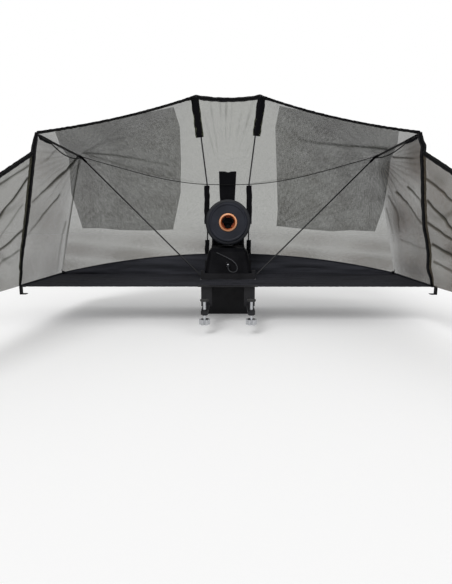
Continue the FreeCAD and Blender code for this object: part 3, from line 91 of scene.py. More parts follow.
def make_camera():
    data = bpy.data.cameras.new("camera")
    data.sensor_fit, data.sensor_width = "HORIZONTAL", SENSOR
    data.lens = SENSOR * FOCAL / PHOTO_WIDTH
    data.clip_start, data.clip_end = 0.05, 50
    camera = bpy.data.objects.new("camera", data)
    bpy.context.scene.collection.objects.link(camera)
    turn = Matrix((RIGHT, -DOWN, -AHEAD)).transposed()
    camera.matrix_world = Matrix.Translation(Vector(EYE * MM)) @ turn.to_4x4()
    bpy.context.scene.camera = camera


make_camera()

# Materials. Every one is a Principled shader with procedural colour and bump, and most with procedural
# roughness.


class Finish:
    def __init__(self, name, colour, roughness, uv=False, **settings):
        self.material = bpy.data.materials.new(name)
        self.material.use_nodes = True
        self.tree = self.material.node_tree
        self.shader = self.tree.nodes["Principled BSDF"]
        self.shader.inputs["Base Color"].default_value = (*colour, 1)
        self.shader.inputs["Roughness"].default_value = roughness
        for key, value in settings.items():
            socket = self.shader.inputs[key.replace("_", " ")]
            socket.default_value = (*value, 1) if isinstance(value, tuple) else value
        if uv:
            place = self.add("ShaderNodeUVMap")
            place.uv_map = "cloth"
            self.at = place.outputs[0]
        else:
            self.at = self.add("ShaderNodeTexCoord").outputs["Object"]

    def add(self, kind, *links, **settings):
        """New node. links are pairs of input and value or output."""
        made = self.tree.nodes.new(kind)
        for key, value in settings.items():
            setattr(made, key, value)
        for key, value in links:
            if isinstance(value, bpy.types.NodeSocket):
                self.tree.links.new(value, made.inputs[key])
            else:
                made.inputs[key].default_value = value
        return made

    def math(self, operation, a, b=0.0, c=0.0):
        made = self.add("ShaderNodeMath", (0, a), (1, b), (2, c), operation=operation)
        return made.outputs[0]

    def stretched(self, scale):
        return self.add("ShaderNodeMapping", ("Vector", self.at), ("Scale", scale)).outputs[0]

    def noise(self, scale, detail=3.0, stretch=(1, 1, 1), rough=0.5):
        made = self.add(
            "ShaderNodeTexNoise",
            ("Vector", self.stretched(stretch)),
            ("Scale", scale),
            ("Detail", detail),
            ("Roughness", rough),
        )
        return made.outputs["Fac"]

    def wave(self, scale, axis="X"):
        links = ("Vector", self.at), ("Scale", scale)
        return self.add("ShaderNodeTexWave", *links, bands_direction=axis).outputs["Fac"]

    def cells(self, scale, feature="F1"):
        links = ("Vector", self.at), ("Scale", scale)
        return self.add("ShaderNodeTexVoronoi", *links, feature=feature).outputs["Distance"]

    def remap(self, value, low, high, start=0.3, end=0.7):
        made = self.add(
            "ShaderNodeMapRange",
            ("Value", value),
            ("From Min", start),
            ("From Max", end),
            ("To Min", low),
            ("To Max", high),
        )
        return made.outputs[0]

    def mix(self, factor, a, b):
        made = self.add(
            "ShaderNodeMix",
            (0, factor),
            (6, a if not isinstance(a, tuple) else (*a, 1)),
            (7, b if not isinstance(b, tuple) else (*b, 1)),
            data_type="RGBA",
        )
        return made.outputs[2]

    def use(self, socket, value):
        self.tree.links.new(value, self.shader.inputs[socket])

    def bump(self, height, distance, strength=1.0, below=None):
        links = [("Height", height), ("Distance", distance), ("Strength", strength)]
        if below is not None:
            links.append(("Normal", below))
        made = self.add("ShaderNodeBump", *links)
        self.use("Normal", made.outputs[0])
        return made.outputs[0]


def moulded(name, colour, roughness, grain=0.00006, spread=0.12, **settings):
    """Moulded plastic: fine grain, slight unevenness, handling marks."""
    f = Finish(name, colour, roughness, **settings)
    lighter = tuple(min(1, c * 1.35 + 0.004) for c in colour)
    darker = tuple(c * 0.82 for c in colour)
    f.use("Base Color", f.mix(f.remap(f.noise(14, 4), 0, 1), darker, lighter))
    smudges = f.noise(38, 5, rough=0.65)
    f.use("Roughness", f.remap(smudges, roughness - spread / 2, roughness + spread))
    broad = f.bump(f.noise(60, 2), 0.00025, 0.5)
    f.bump(f.cells(1500), grain, 0.8, broad)
    return f.material


def metal(name, colour, roughness, stretch):
    """Drawn or ground metal with fine lines."""
    f = Finish(name, colour, roughness, Metallic=1.0)
    lines = f.noise(900, 2, stretch)
    f.use("Base Color", f.mix(f.remap(f.noise(25, 4), 0, 1), tuple(c * 0.8 for c in colour), colour))
    f.use("Roughness", f.remap(lines, roughness - 0.06, roughness + 0.14))
    f.bump(lines, 0.00003, 0.6)
    return f.material


def rubber(name, colour, roughness):
    f = Finish(name, colour, roughness)
    darker, lighter = tuple(c * 0.8 for c in colour), tuple(c * 1.3 + 0.01 for c in colour)
    f.use("Base Color", f.mix(f.remap(f.noise(30, 5), 0, 1), darker, lighter))
    f.use("Roughness", f.remap(f.noise(70, 4), roughness - 0.08, roughness + 0.1))
    f.bump(f.noise(1200, 3), 0.0001, 0.8)
    return f.material


def netting(name, colour, warm, alpha, weave, moire, grain=260):
    """Fine see-through netting.

    The mesh carries two attributes: fold is the share of doubled cloth at each point, with
    painted shade in creases and wrinkles added to it, and warm that of a browner, denser look:
    partly cloth seen along its threads, partly painted shade and reflected colour of darker
    surroundings.
    """
    f = Finish(name, colour, 0.85, uv=True, Sheen_Weight=0.05, Specular_IOR_Level=0.05)
    fold = f.add("ShaderNodeAttribute", attribute_name="fold").outputs["Fac"]
    warmth = f.add("ShaderNodeAttribute", attribute_name="warm").outputs["Fac"]
    patchy = f.remap(f.noise(5, 3), 0.0, 0.35)
    # Browner where warm is high: partly cloth seen along its threads, partly painted shade and reflected
    # colour of darker surroundings.
    tint = f.mix(f.math("MULTIPLY", warmth, f.remap(f.noise(9, 2), 0.55, 0.95)), colour, warm)
    tint = f.mix(patchy, tint, tuple(c * 0.82 for c in colour))
    # Painted shade: the thread colour darkens to a tenth in creases and wrinkles; the denser alpha further
    # down is the doubled cloth.
    f.use("Base Color", f.mix(f.math("MULTIPLY", fold, 0.9), tint, tuple(c * 0.1 for c in colour)))
    threads_u = f.wave(420, "X")
    threads_v = f.wave(420, "Y")
    threads = f.math("MAXIMUM", threads_u, threads_v)
    fine = f.math("MULTIPLY", f.remap(threads, -1, 1, 0.4, 1.0), weave)
    upright = f.remap(f.noise(grain, 1, (1, 0.22, 1)), -1, 1, 0.36, 0.64)
    level = f.remap(f.noise(grain, 1, (0.22, 1, 1)), -1, 1, 0.36, 0.64)
    beat = f.math("ADD", upright, f.math("MULTIPLY", level, f.remap(f.noise(14, 2), 0.2, 1.3)))
    grit = f.remap(f.noise(grain * 1.7, 2, rough=0.8), -1, 1, 0.35, 0.65)
    speckle = f.math("MULTIPLY", grit, moire * 0.7)
    total = f.math("ADD", f.math("MULTIPLY_ADD", beat, moire, fine), speckle)
    total = f.math("MULTIPLY_ADD", warmth, 0.155, total)
    total = f.math("ADD", total, f.math("MULTIPLY_ADD", fold, 0.45, alpha))
    f.use("Alpha", f.add("ShaderNodeClamp", ("Value", total), ("Min", 0.1), ("Max", 0.98)).outputs[0])
    f.bump(threads, 0.00015, 0.7)
    return f.material


STITCHES_PER_METRE, STITCH_HALF_WIDTH = 330.0, 0.00035


def woven(
    name, colour, lighter, scale, roughness=0.8, sheen=0.03, shine=0.06, stitches=(), streaks=(1, 1, 1)
):
    """Close-woven cloth or tape with rows of stitches at those distances from its middle."""
    gloss = {"Sheen_Weight": sheen, "Sheen_Roughness": 0.5, "Specular_IOR_Level": shine}
    f = Finish(name, colour, roughness, uv=True, **gloss)
    twill = f.wave(scale, "DIAGONAL")
    cross = f.wave(scale * 1.3, "Y")
    patches = f.noise(26, 4, streaks)
    cloth = f.mix(f.remap(patches, 0, 1), colour, lighter)
    cloth = f.mix(f.math("MULTIPLY", twill, 0.35), cloth, tuple(c * 0.45 for c in colour))
    height = f.math("ADD", twill, f.math("MULTIPLY", cross, 0.6))
    if stitches:
        parts = f.add("ShaderNodeSeparateXYZ", ("Vector", f.at)).outputs
        count = f.math("MULTIPLY", parts[1], STITCHES_PER_METRE)
        beat = f.math("LESS_THAN", f.math("FRACT", count), 0.62)
        seam = 0.0
        for at in stitches:
            near = f.math("COMPARE", parts[0], at * MM, STITCH_HALF_WIDTH)
            seam = near if seam == 0.0 else f.math("MAXIMUM", seam, near)
        seam = f.math("MULTIPLY", seam, beat)
        cloth = f.mix(seam, cloth, (0.09, 0.09, 0.095))
        height = f.math("SUBTRACT", height, f.math("MULTIPLY", seam, 1.5))
    f.use("Base Color", cloth)
    f.use("Roughness", f.remap(patches, roughness - 0.1, roughness + 0.1))
    f.bump(height, 0.00018, 0.8)
    return f.material


# Tray cloth: the lighter, bluish colour mixed in long streaks is a painted sheen.
def tray_cloth(name, colour, lighter):
    return woven(name, colour, lighter, 300, 0.7, 0.02, 0.04, streaks=(0.10, 1.6, 1))


def braided(name, colour, scale):
    f = Finish(name, colour, 0.7, Sheen_Weight=0.05, Specular_IOR_Level=0.1)
    weave = f.math("MULTIPLY", f.wave(scale, "DIAGONAL"), f.wave(scale, "X"))
    f.use("Base Color", f.mix(weave, tuple(c * 0.5 for c in colour), tuple(c * 1.5 for c in colour)))
    f.bump(weave, 0.0003, 0.9)
    return f.material


def board(name):
    f = Finish(name, (0.02, 0.16, 0.07), 0.35, Coat_Weight=0.4, Coat_Roughness=0.2)
    traces = f.math("LESS_THAN", f.cells(160, "DISTANCE_TO_EDGE"), 0.05)
    pads = f.math("LESS_THAN", f.cells(300), 0.16)
    green = f.mix(traces, (0.015, 0.12, 0.05), (0.04, 0.27, 0.12))
    f.use("Base Color", f.mix(pads, green, (0.72, 0.68, 0.52)))
    f.bump(traces, 0.00004, 0.6)
    return f.material


def fibreglass(name):
    f = Finish(name, (0.006, 0.006, 0.007), 0.34, Specular_IOR_Level=0.3)
    lines = f.noise(400, 3, (6, 6, 0.3))
    f.use("Base Color", f.mix(f.remap(lines, 0, 1), (0.004, 0.004, 0.005), (0.014, 0.014, 0.016)))
    f.use("Roughness", f.remap(lines, 0.24, 0.42))
    f.bump(lines, 0.00005, 0.5)
    return f.material


OUTLET_HEIGHT = 0.2345


def outlet_orange(name):
    """Orange moulding: paler on its face, and dark brown down its bore as painted shade."""
    f = Finish(name, (0.86, 0.24, 0.06), 0.32, Specular_IOR_Level=0.4)
    parts = f.add("ShaderNodeSeparateXYZ", ("Vector", f.at)).outputs
    up = f.math("SUBTRACT", parts[2], OUTLET_HEIGHT)
    squares = f.math("ADD", f.math("MULTIPLY", parts[0], parts[0]), f.math("MULTIPLY", up, up))
    radius = f.math("SQRT", squares)
    worn = f.remap(f.noise(60, 4), 0.0, 1.0)
    face = f.mix(worn, (0.76, 0.34, 0.16), (0.84, 0.44, 0.25))
    # Painted shade: the bore inside the face is coloured dark brown.
    bore = f.mix(worn, (0.20, 0.045, 0.012), (0.33, 0.08, 0.02))
    f.use("Base Color", f.mix(f.remap(radius, 0, 1, 0.0303, 0.0318), bore, face))
    f.use("Roughness", f.remap(f.noise(90, 4), 0.26, 0.42))
    f.bump(f.noise(400, 3), 0.00004, 0.6)
    return f.material


# The browner colours are mixed in by the warm share: partly denser cloth seen along its threads, partly
# painted shade and reflected colour of darker surroundings.
GREEN_GREY, BROWN_GREY = (0.080, 0.089, 0.058), (0.108, 0.080, 0.058)
PATCH_GREY, PATCH_BROWN = (0.058, 0.062, 0.047), (0.066, 0.055, 0.044)
LOOKS = {}


def look(kind, name, *values, **settings):
    LOOKS[name] = kind(name, *values, **settings)


look(moulded, "head_plastic", (0.0090, 0.0100, 0.0135), 0.45, Specular_IOR_Level=0.22)
look(moulded, "disc_plastic", (0.0085, 0.0100, 0.0165), 0.40, Specular_IOR_Level=0.22)
look(outlet_orange, "orange_plastic")
# The base's black is painted darker than the tub's and the frame's: painted shade for the shadow it sits in.
look(moulded, "base_plastic", (0.0016, 0.0016, 0.0026), 0.42, Specular_IOR_Level=0.05)
look(moulded, "tub_plastic", (0.0060, 0.0060, 0.0075), 0.5, Specular_IOR_Level=0.2)
look(moulded, "inner_plastic", (0.035, 0.037, 0.042), 0.5, Specular_IOR_Level=0.3)
look(moulded, "gear_plastic", (0.60, 0.585, 0.52), 0.38, 0.00002, 0.06, Subsurface_Weight=0.1)
look(metal, "motor_metal", (0.60, 0.61, 0.62), 0.28, (1, 1, 12))
look(metal, "steel_rod", (0.52, 0.53, 0.55), 0.22, (1, 1, 10))
look(moulded, "frame_paint", (0.0060, 0.0060, 0.0075), 0.48, 0.00012, 0.1, Specular_IOR_Level=0.25)
look(rubber, "grip_rubber", (0.010, 0.010, 0.010), 0.75)
look(rubber, "wheel_rubber", (0.30, 0.06, 0.025), 0.6)
look(board, "circuit_board")
look(netting, "net_mesh", GREEN_GREY, BROWN_GREY, 0.645, 0.08, 0.014)
look(netting, "double_mesh", PATCH_GREY, PATCH_BROWN, 0.55, 0.08, 0.085, 230)
# The tray's floor and wall are one cloth in two copies: the floor's is painted about half as light as the
# wall's, to stand in for the difference in light between them.
look(tray_cloth, "tray_cloth", (0.0115, 0.012, 0.015), (0.043, 0.044, 0.054))
look(tray_cloth, "wall_cloth", (0.021, 0.022, 0.026), (0.070, 0.072, 0.086))
look(
    woven, "binding_cloth", (0.0042, 0.0042, 0.0048), (0.0085, 0.0085, 0.0095), 420, 0.85, 0.03, 0.05,
    stitches=(-5.2, 5.2),
)
look(woven, "pocket_cloth", (0.0035, 0.0035, 0.0045), (0.0072, 0.0072, 0.0090), 380, 0.8, 0.03, 0.05)
look(fibreglass, "black_rod")
look(braided, "elastic", (0.006, 0.006, 0.0065), 700)
look(rubber, "lead_sheath", (0.009, 0.010, 0.013), 0.65)
look(metal, "plug_metal", (0.80, 0.80, 0.82), 0.14, (1, 14, 1))

for name, thing in frame["nodes"].items():
    wanted = next(p["material_slot"] for p in frame["record"]["subparts"] if p["node"] == name)
    thing.data.materials.clear()
    thing.data.materials.append(LOOKS[wanted])

# Cords: their routes are the same as in the CAD source.


def smooth_cord(name, route, diameter, look):
    data = bpy.data.curves.new(name, "CURVE")
    data.dimensions = "3D"
    data.resolution_u = 12
    data.bevel_depth, data.bevel_resolution = diameter * MM / 2, 5
    data.use_fill_caps = True
    spline = data.splines.new("NURBS")
    spline.points.add(len(route) - 1)
    for point, at in zip(spline.points, route):
        point.co = (*(c * MM for c in at), 1)
    spline.order_u, spline.use_endpoint_u = 3, True
    piece = bpy.data.objects.new(name, data)
    bpy.context.scene.collection.objects.link(piece)
    data.materials.append(LOOKS[look])
    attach(piece, BASE)
    return piece


CORD_Y = 384.9
TENSION = [
    (-642, CORD_Y, 519), (-352, CORD_Y, 436), (-190, CORD_Y, 408), (-93, CORD_Y, 400),
    (93, CORD_Y, 400), (220, CORD_Y, 412), (390, CORD_Y, 447), (642, CORD_Y, 519),
]
cord = smooth_cord("tension_cord_line", TENSION, 3, "elastic")
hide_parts("tension_cord")


def lead_point(x, z, out):
    """Point of the lead at that distance from the sloping front of the base."""
    return (x, 205 + (z - 24) * 17 / 89 - 2.5 - out, z)


LEAD = [
    lead_point(-48, 110, 0.3), lead_point(-26, 99.75, 1.5), lead_point(-4, 89.5, 2.0),
    lead_point(16, 79.25, 3.5), lead_point(32, 66, 9), lead_point(40, 49, 20),
    lead_point(34, 35, 34), lead_point(14, 33, 46), lead_point(0, 45, 42), lead_point(0, 55, 20),
]
lead = smooth_cord("head_lead_cable", LEAD, 5, "lead_sheath")
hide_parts("head_lead")

# Ends of the rods, on the right side, and how the loops hang under the side arms:
# share of the arm, distance aside and fall.
ROD_FOOT, ROD_KNEE = np.array([93, 391, 30.0]), np.array([93, 391, 400.0])
ROD_PEAK = np.array([134, 310, 754.0])
ARM_ELBOW, ARM_CORNER = np.array([650, 391, 520.0]), np.array([645, -40, 526.0])
ARM_SAG = (
    (0.79, 0, -5), (0.66, -2, -19), (0.48, -4, -28), (0.26, -4, -25), (0.10, -3, -12), (0.0, -2, -5),
)


def mirror(side, points):
    return np.asarray(points, float) * (side, 1, 1)


for side, word in SIDES:
    elbow, corner = mirror(side, ARM_ELBOW), mirror(side, ARM_CORNER)
    drop = 1.0 if side < 0 else 0.72
    route = [
        elbow + (corner - elbow) * along + (side * aside, 0, fall * drop - (1 - drop) * 6)
        for along, aside, fall in ARM_SAG
    ]
    loop = smooth_cord(f"elastic_loop_{word}", route, 4.4, "elastic")

# Mesh helpers. All points are in mm.


def wobble(x, y, length, seed, waves=9):
    """Smooth seeded noise between about -1 and 1 with features of that length."""
    r = np.random.default_rng(seed)
    total = 0.0
    for _ in range(waves):
        angle, phase = r.uniform(0, math.pi), r.uniform(0, 2 * math.pi)
        k = 2 * math.pi / (length * r.uniform(0.7, 1.6))
        total = total + np.sin(k * (x * math.cos(angle) + y * math.sin(angle)) + phase)
    return total / math.sqrt(waves)


def make(name, points, faces, uv, look, replaced=(), slot_name=None, **attributes):
    mesh = bpy.data.meshes.new(name)
    mesh.from_pydata((np.asarray(points) * MM).tolist(), [], faces)
    mesh.update()
    layer = mesh.uv_layers.new(name="cloth")
    corners = np.zeros(len(mesh.loops), np.int32)
    mesh.loops.foreach_get("vertex_index", corners)
    layer.data.foreach_set("uv", (np.asarray(uv)[corners] * MM).astype(np.float32).ravel())
    for key, values in attributes.items():
        made = mesh.attributes.new(key, "FLOAT", "POINT")
        made.data.foreach_set("value", np.asarray(values, np.float32).ravel())
    mesh.polygons.foreach_set("use_smooth", np.ones(len(mesh.polygons), bool))
    mesh.materials.append(LOOKS[look])
    piece = bpy.data.objects.new(name, mesh)
    bpy.context.scene.collection.objects.link(piece)
    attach(piece, BASE)
    if replaced:
        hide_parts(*replaced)
    return piece


def grid_faces(rows, columns, keep=None, offset=0):
    faces = []
    for i in range(rows - 1):
        for j in range(columns - 1):
            if keep is None or keep[i, j]:
                a = offset + i * columns + j
                faces.append((a, a + 1, a + columns + 1, a + columns))
    return faces


def lengths(points, axis):
    """Distance along the grid from its first row or column."""
    step = np.linalg.norm(np.diff(points, axis=axis), axis=-1)
    first = np.zeros_like(np.take(step, [0], axis))
    return np.cumsum(np.concatenate([first, step], axis), axis)


def grid(name, points, look, replaced=(), keep=None, slot_name=None, **attributes):
    """Cloth from a grid of points."""
    rows, columns, _ = points.shape
    faces = grid_faces(rows, columns, keep)
    uv = np.stack([lengths(points, 1), lengths(points, 0)], -1).reshape(-1, 2)
    return make(name, points.reshape(-1, 3), faces, uv, look, replaced, slot_name, **attributes)


def along_path(path, count):
    """The path cut into equal steps."""
    path = np.asarray(path, float)
    run = np.concatenate([[0], np.cumsum(np.linalg.norm(np.diff(path, axis=0), axis=-1))])
    at = np.linspace(0, run[-1], count)
    return np.stack([np.interp(at, run, path[:, k]) for k in range(path.shape[1])], -1)


def unit(v):
    v = np.asarray(v, float)
    return v / np.maximum(np.linalg.norm(v, axis=-1, keepdims=True), 1e-9)


def tape(name, path, across, width, thick, look, slot_name=None, seed=1, pucker=0.0):
    """Closed soft band along a path, with its width across and its edges rounded."""
    path, across = np.asarray(path, float), np.asarray(across, float)
    count = len(path)
    tangent = unit(np.gradient(path, axis=0))
    across = np.broadcast_to(across, path.shape)
    across = unit(across - tangent * (across * tangent).sum(-1, keepdims=True))
    normal = np.cross(tangent, across)
    width = np.broadcast_to(np.asarray(width, float), (count,))
    run = lengths(path[:, None, :], 0)[:, 0]
    around = 14
    angle = 2 * math.pi * np.arange(around) / around
    c, s = np.cos(angle), np.sin(angle)
    u = np.sign(c) * np.abs(c) ** 0.4 / 2
    d = np.sign(s) * np.abs(s) ** 0.7 / 2
    edge = 1 + 0.05 * wobble(run, 0 * run, 30, seed)
    lift = pucker * wobble(run, 0 * run, 16, seed + 1)
    points = (
        path[:, None]
        + across[:, None] * (u[None, :, None] * (width * edge)[:, None, None])
        + normal[:, None] * (d[None, :, None] * thick + lift[:, None, None])
    )
    points = np.concatenate([points, points[:, :1]], 1)
    uv_u = np.concatenate([u, u[:1]])[None, :] * width[:, None]
    uv = np.stack([uv_u, np.broadcast_to(run[:, None], uv_u.shape)], -1)
    columns = around + 1
    faces = grid_faces(count, columns)
    flat = points.reshape(-1, 3)
    faces.append(tuple(range(around))[::-1])
    faces.append(tuple((count - 1) * columns + k for k in range(around)))
    return make(name, flat, faces, uv.reshape(-1, 2), look, (), slot_name)


def join(name, pieces, replaced=()):
    """Several pieces of the same cloth as one."""
    bpy.ops.object.select_all(action="DESELECT")
    for piece in pieces:
        piece.select_set(True)
    bpy.context.view_layer.objects.active = pieces[0]
    bpy.ops.object.join()
    pieces[0].name = name
    if replaced:
        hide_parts(*replaced)
    return pieces[0]


# Folds: lines in the photograph, with their width in pixels and their depth. Along a line
# the cloth is doubled, a little raised and darkened by painted shade. Elbows and lower
# patch corners gather the net.

ELBOW_SEEN = {-1: (82, 153), 1: (379, 159)}
PATCH_CORNER_SEEN = {-1: (173, 230), 1: (277, 228)}

FOLDS = {
    "wall": (
        ([(83, 152.5), (110, 154.5), (133, 158), (168, 165)], 1.0, 0.40),
        ([(391, 148), (352, 146), (318, 143), (299.5, 139.6)], 1.2, 0.55),
        ([(81, 158), (72, 193), (65.8, 228), (58, 272.8)], 0.8, 0.45),
        ([(379, 160), (388, 200), (396, 240), (401, 272)], 0.9, 0.16),
        ([(83, 153), (147.7, 173.3), (205, 184.5)], 0.9, 0.25),
        ([(251, 184.5), (308.7, 174.8), (379, 158)], 0.9, 0.25),
        ([(84, 152), (105, 141), (124, 137)], 1.0, 0.22),
        ([(277, 226), (283, 205), (288, 192)], 0.7, 0.20),
        ([(277, 226), (291, 206), (301, 196)], 0.7, 0.20),
        ([(277, 226), (299, 212), (314, 203)], 0.7, 0.18),
        ([(277, 226), (303, 219), (322, 213)], 0.7, 0.15),
        ([(173, 229), (166, 214), (158, 204)], 0.7, 0.14),
        ([(176, 222), (168, 204), (160, 192)], 0.7, 0.12),
    ),
    "side": (
        ([(78.6, 156), (67.9, 170), (53.6, 184.5), (33, 202)], 1.1, 0.95),
        ([(61, 195), (45, 215), (29, 234.5)], 0.9, 0.55),
        ([(58, 148), (47, 160), (36, 166)], 0.8, 0.25),
        ([(66, 222), (60, 250), (57, 272)], 0.8, 0.3),
        ([(79.5, 160), (74, 195), (68, 232), (62.5, 271)], 0.9, 0.75),
        ([(392.6, 157.3), (412.6, 158.5)], 0.8, 0.6),
        ([(406.5, 187.5), (419.8, 200.3), (425, 207)], 0.9, 0.7),
        ([(395.6, 192.4), (408.3, 207), (420.4, 222.7), (427, 229)], 0.9, 0.6),
        ([(388, 196), (396, 214), (399, 232)], 0.8, 0.35),
        ([(386, 208), (391, 228), (393, 243)], 0.7, 0.28),
        ([(400, 240), (414, 246), (428, 250)], 1.0, 0.2),
    ),
    "wing": (
        ([(28.6, 165.7), (3.6, 182.7), (-60, 226), (-300, 384)], 1.0, 0.55),
        ([(27.7, 178), (3.6, 213), (-40, 277)], 1.1, 0.85),
        ([(23, 205), (10, 222), (-10, 250)], 0.8, 0.3),
        ([(23, 230), (3, 248), (-40, 285), (-110, 330)], 1.0, 0.75),
        ([(20, 250), (3, 262), (-40, 290)], 1.0, 0.4),
        ([(426.5, 179), (448, 197), (540, 268), (740, 400)], 1.0, 0.65),
        ([(427.7, 201), (448, 224), (490, 272)], 1.1, 0.85),
        ([(427.7, 222.7), (448, 237), (520, 290), (600, 345)], 1.0, 0.75),
        ([(432.5, 244.5), (448, 254), (490, 279)], 1.1, 0.8),
        ([(434, 262), (450, 270), (490, 290)], 1.0, 0.5),
    ),
}


def line_distance(at, line):
    """Distance in pixels from a polyline, and how far along it the nearest point is."""
    line = np.asarray(line, float)
    best, where = np.full(at.shape[:-1], 1e9), np.zeros(at.shape[:-1])
    run = np.concatenate([[0], np.cumsum(np.linalg.norm(np.diff(line, axis=0), axis=-1))])
    for k in range(len(line) - 1):
        a, b = line[k], line[k + 1]
        t = np.clip(((at - a) @ (b - a)) / ((b - a) @ (b - a)), 0, 1)
        d = np.linalg.norm(at - (a + t[..., None] * (b - a)), axis=-1)
        near = d < best
        best = np.where(near, d, best)
        where = np.where(near, (run[k] + t * (run[k + 1] - run[k])) / run[-1], where)
    return best, where


def folds(points, kind, taper=0.6):
    """Share of doubled cloth and painted crease shade at each point, from the crease lines."""
    at = pixels(points)
    total = np.zeros(points.shape[:-1])
    for line, width, depth in FOLDS[kind]:
        d, t = line_distance(at, line)
        total = np.maximum(total, depth * (1 - taper * t) * np.exp(-((d / width) ** 2)))
    return total


def fan(points, centre, count, reach, seed):
    """Fine radiating wrinkles round a place in the photograph."""
    v = pixels(points) - np.asarray(centre, float)
    distance = np.linalg.norm(v, axis=-1)
    angle = np.arctan2(v[..., 1], v[..., 0])
    ripple = np.sin(angle * count + 2.0 * np.sin(angle * 3 + seed) + 0.01 * distance)
    return ripple * np.exp(-distance / reach) * (1 - np.exp(-((distance / 9) ** 2)))


# Net: corners of the frame, on the right side.

KNEE, PEAK = np.array([93, 397.6, 400.0]), np.array([134, 316.5, 754.5])
ELBOW, CORNER = np.array([656, 397.6, 526.0]), np.array([655.5, -43, 538.0])
BACK, TABLE = np.array([765.9, 397.6, 2.0]), np.array([763.0, -0.3, 1.0])
TIP = np.array([774.5, -999, 1.0])
SEAM_TOP, SEAM_RISE = 92, 88.0
WING_START = 0.12

# Corner bands in the photograph: rows, and the place of the band in each.
BAND_SEEN = {
    -1: ([130, 153.4, 176, 213, 243.7, 280], [35.8, 32.9, 30.6, 26.8, 23, 16]),
    1: (
        [133, 146, 156, 170.6, 201, 227.5, 243, 255, 267.5, 288],
        [419, 424, 423, 423.7, 424, 425.3, 428.3, 429.5, 429, 430],
    ),
}


def seam_z(x):
    """Height of the tray wall's seam, an arc over the table."""
    half = BACK[0]
    radius = (half**2 + SEAM_RISE**2) / (2 * SEAM_RISE)
    return SEAM_TOP - radius + np.sqrt(radius**2 - np.minimum(np.abs(x), half) ** 2)


def crease_z(x):
    """Height of the crease between wall and hood, straight from knee to elbow."""
    share = (np.abs(x) - KNEE[0]) / (ELBOW[0] - KNEE[0])
    return KNEE[2] + (ELBOW[2] - KNEE[2]) * np.maximum(share, 0)


def lerp(a, b, t):
    return a + (b - a) * t


def front_edge(side, count):
    """Front edge of a side panel, from the upper corner to the table, as wavy as its band."""
    t = np.linspace(0, 1, count)[:, None]
    line = lerp(mirror(side, CORNER), mirror(side, TABLE), t)
    at = pixels(line)
    rows, places = BAND_SEEN[side]
    shift = (np.interp(at[:, 1], rows, places) - at[:, 0]) * ((line - EYE) @ AHEAD) / FOCAL
    ends = np.clip(t[:, 0] * 12, 0, 1) * np.clip((1 - t[:, 0]) * 8, 0.8 if side < 0 else 0.45, 1)
    shift = np.clip(shift, -14, 14) * ends
    return line + np.stack([shift, 0 * shift, 0 * shift], -1)


def hem_fade(v, w):
    """0 at the edges of a panel and 1 a little inside them."""
    return np.clip(np.minimum(v, 1 - v) * 8, 0, 1) * np.clip(np.minimum(w, 1 - w) * 8, 0, 1)


# Back wall, from the seam of the tray to the crease at the knees and elbows.

knee_share = KNEE[0] / ELBOW[0]
xs = np.concatenate([
    np.linspace(-1, -knee_share, 111)[:-1],
    np.linspace(-knee_share, knee_share, 41),
    np.linspace(knee_share, 1, 111)[1:],
])
vs = np.linspace(0, 1, 90)[:, None]
low = np.stack([BACK[0] * xs, 0 * xs + BACK[1], seam_z(BACK[0] * xs)], -1)
high = np.stack([ELBOW[0] * xs, 0 * xs + ELBOW[1], crease_z(ELBOW[0] * xs)], -1)
wall = lerp(low[None], high[None], vs[:, :, None])
x, z = wall[..., 0], wall[..., 2]
fold = folds(wall, "wall")
sewn = np.clip((1 - np.abs(xs)[None, :]) * 14, 0, 1)
beside_rod = 1 - np.exp(-(((np.abs(x) - KNEE[0]) / 60) ** 2))
belly = sewn * np.sin(math.pi * vs) * beside_rod * np.clip((766 - np.abs(x)) / 200, 0, 1)
free = sewn * np.clip(np.minimum(vs, 1 - vs) * 10, 0, 1)
radiate = 0
for centre, count, reach, seed in (
    (ELBOW_SEEN[-1], 34, 55, 1), (ELBOW_SEEN[1], 34, 55, 2),
    (PATCH_CORNER_SEEN[1], 40, 30, 3), (PATCH_CORNER_SEEN[-1], 40, 26, 4),
):
    radiate = radiate + fan(wall, centre, count, reach, seed)
uneven = 1.4 * wobble(x, z, 170, 11) + 0.8 * wobble(x, z, 55, 12)
wall[..., 1] += belly * 7 + free * uneven + radiate * 2.2 * free
wall[..., 1] += fold * 2.5 * free
low_warm = np.clip((230 - z) / 150, 0, 1) * (0.35 + 0.65 * np.abs(np.sin(z / 26 + 0.004 * x)))
wall_warm = np.clip(low_warm + 0.25 * wobble(x, z, 240, 13) * low_warm, 0, 1)
# Painted shade on the slopes of the radiating wrinkles.
wall_fold = np.clip(fold + 0.10 * np.maximum(radiate, 0) ** 2, 0, 1)
back = grid("net_back_cloth", wall, "net_mesh", ("net_back",), fold=wall_fold, warm=wall_warm)

# Hood, a slack saddle between the crease, the arms and the top edge.

VEIN_FOCUS = np.array([225.0, 196.0])
ts = np.linspace(0, 1, 70)[:, None, None]


def saddle(a, side):
    """Grid between knee, elbow, corner and peak, with a soft ridge from elbow to peak."""
    k, e, c, p = (mirror(side, q) for q in (KNEE, ELBOW, CORNER, PEAK))
    a = a[None, :, None]
    flat = lerp(lerp(k, e, a), lerp(p, c, a), ts)
    one, two = a * ts, (1 - a) * (1 - ts)
    ridge = 0.5 * (one + two - np.sqrt((one - two) ** 2 + 0.2 * one * two))
    return flat - (k - e - p + c) * ridge


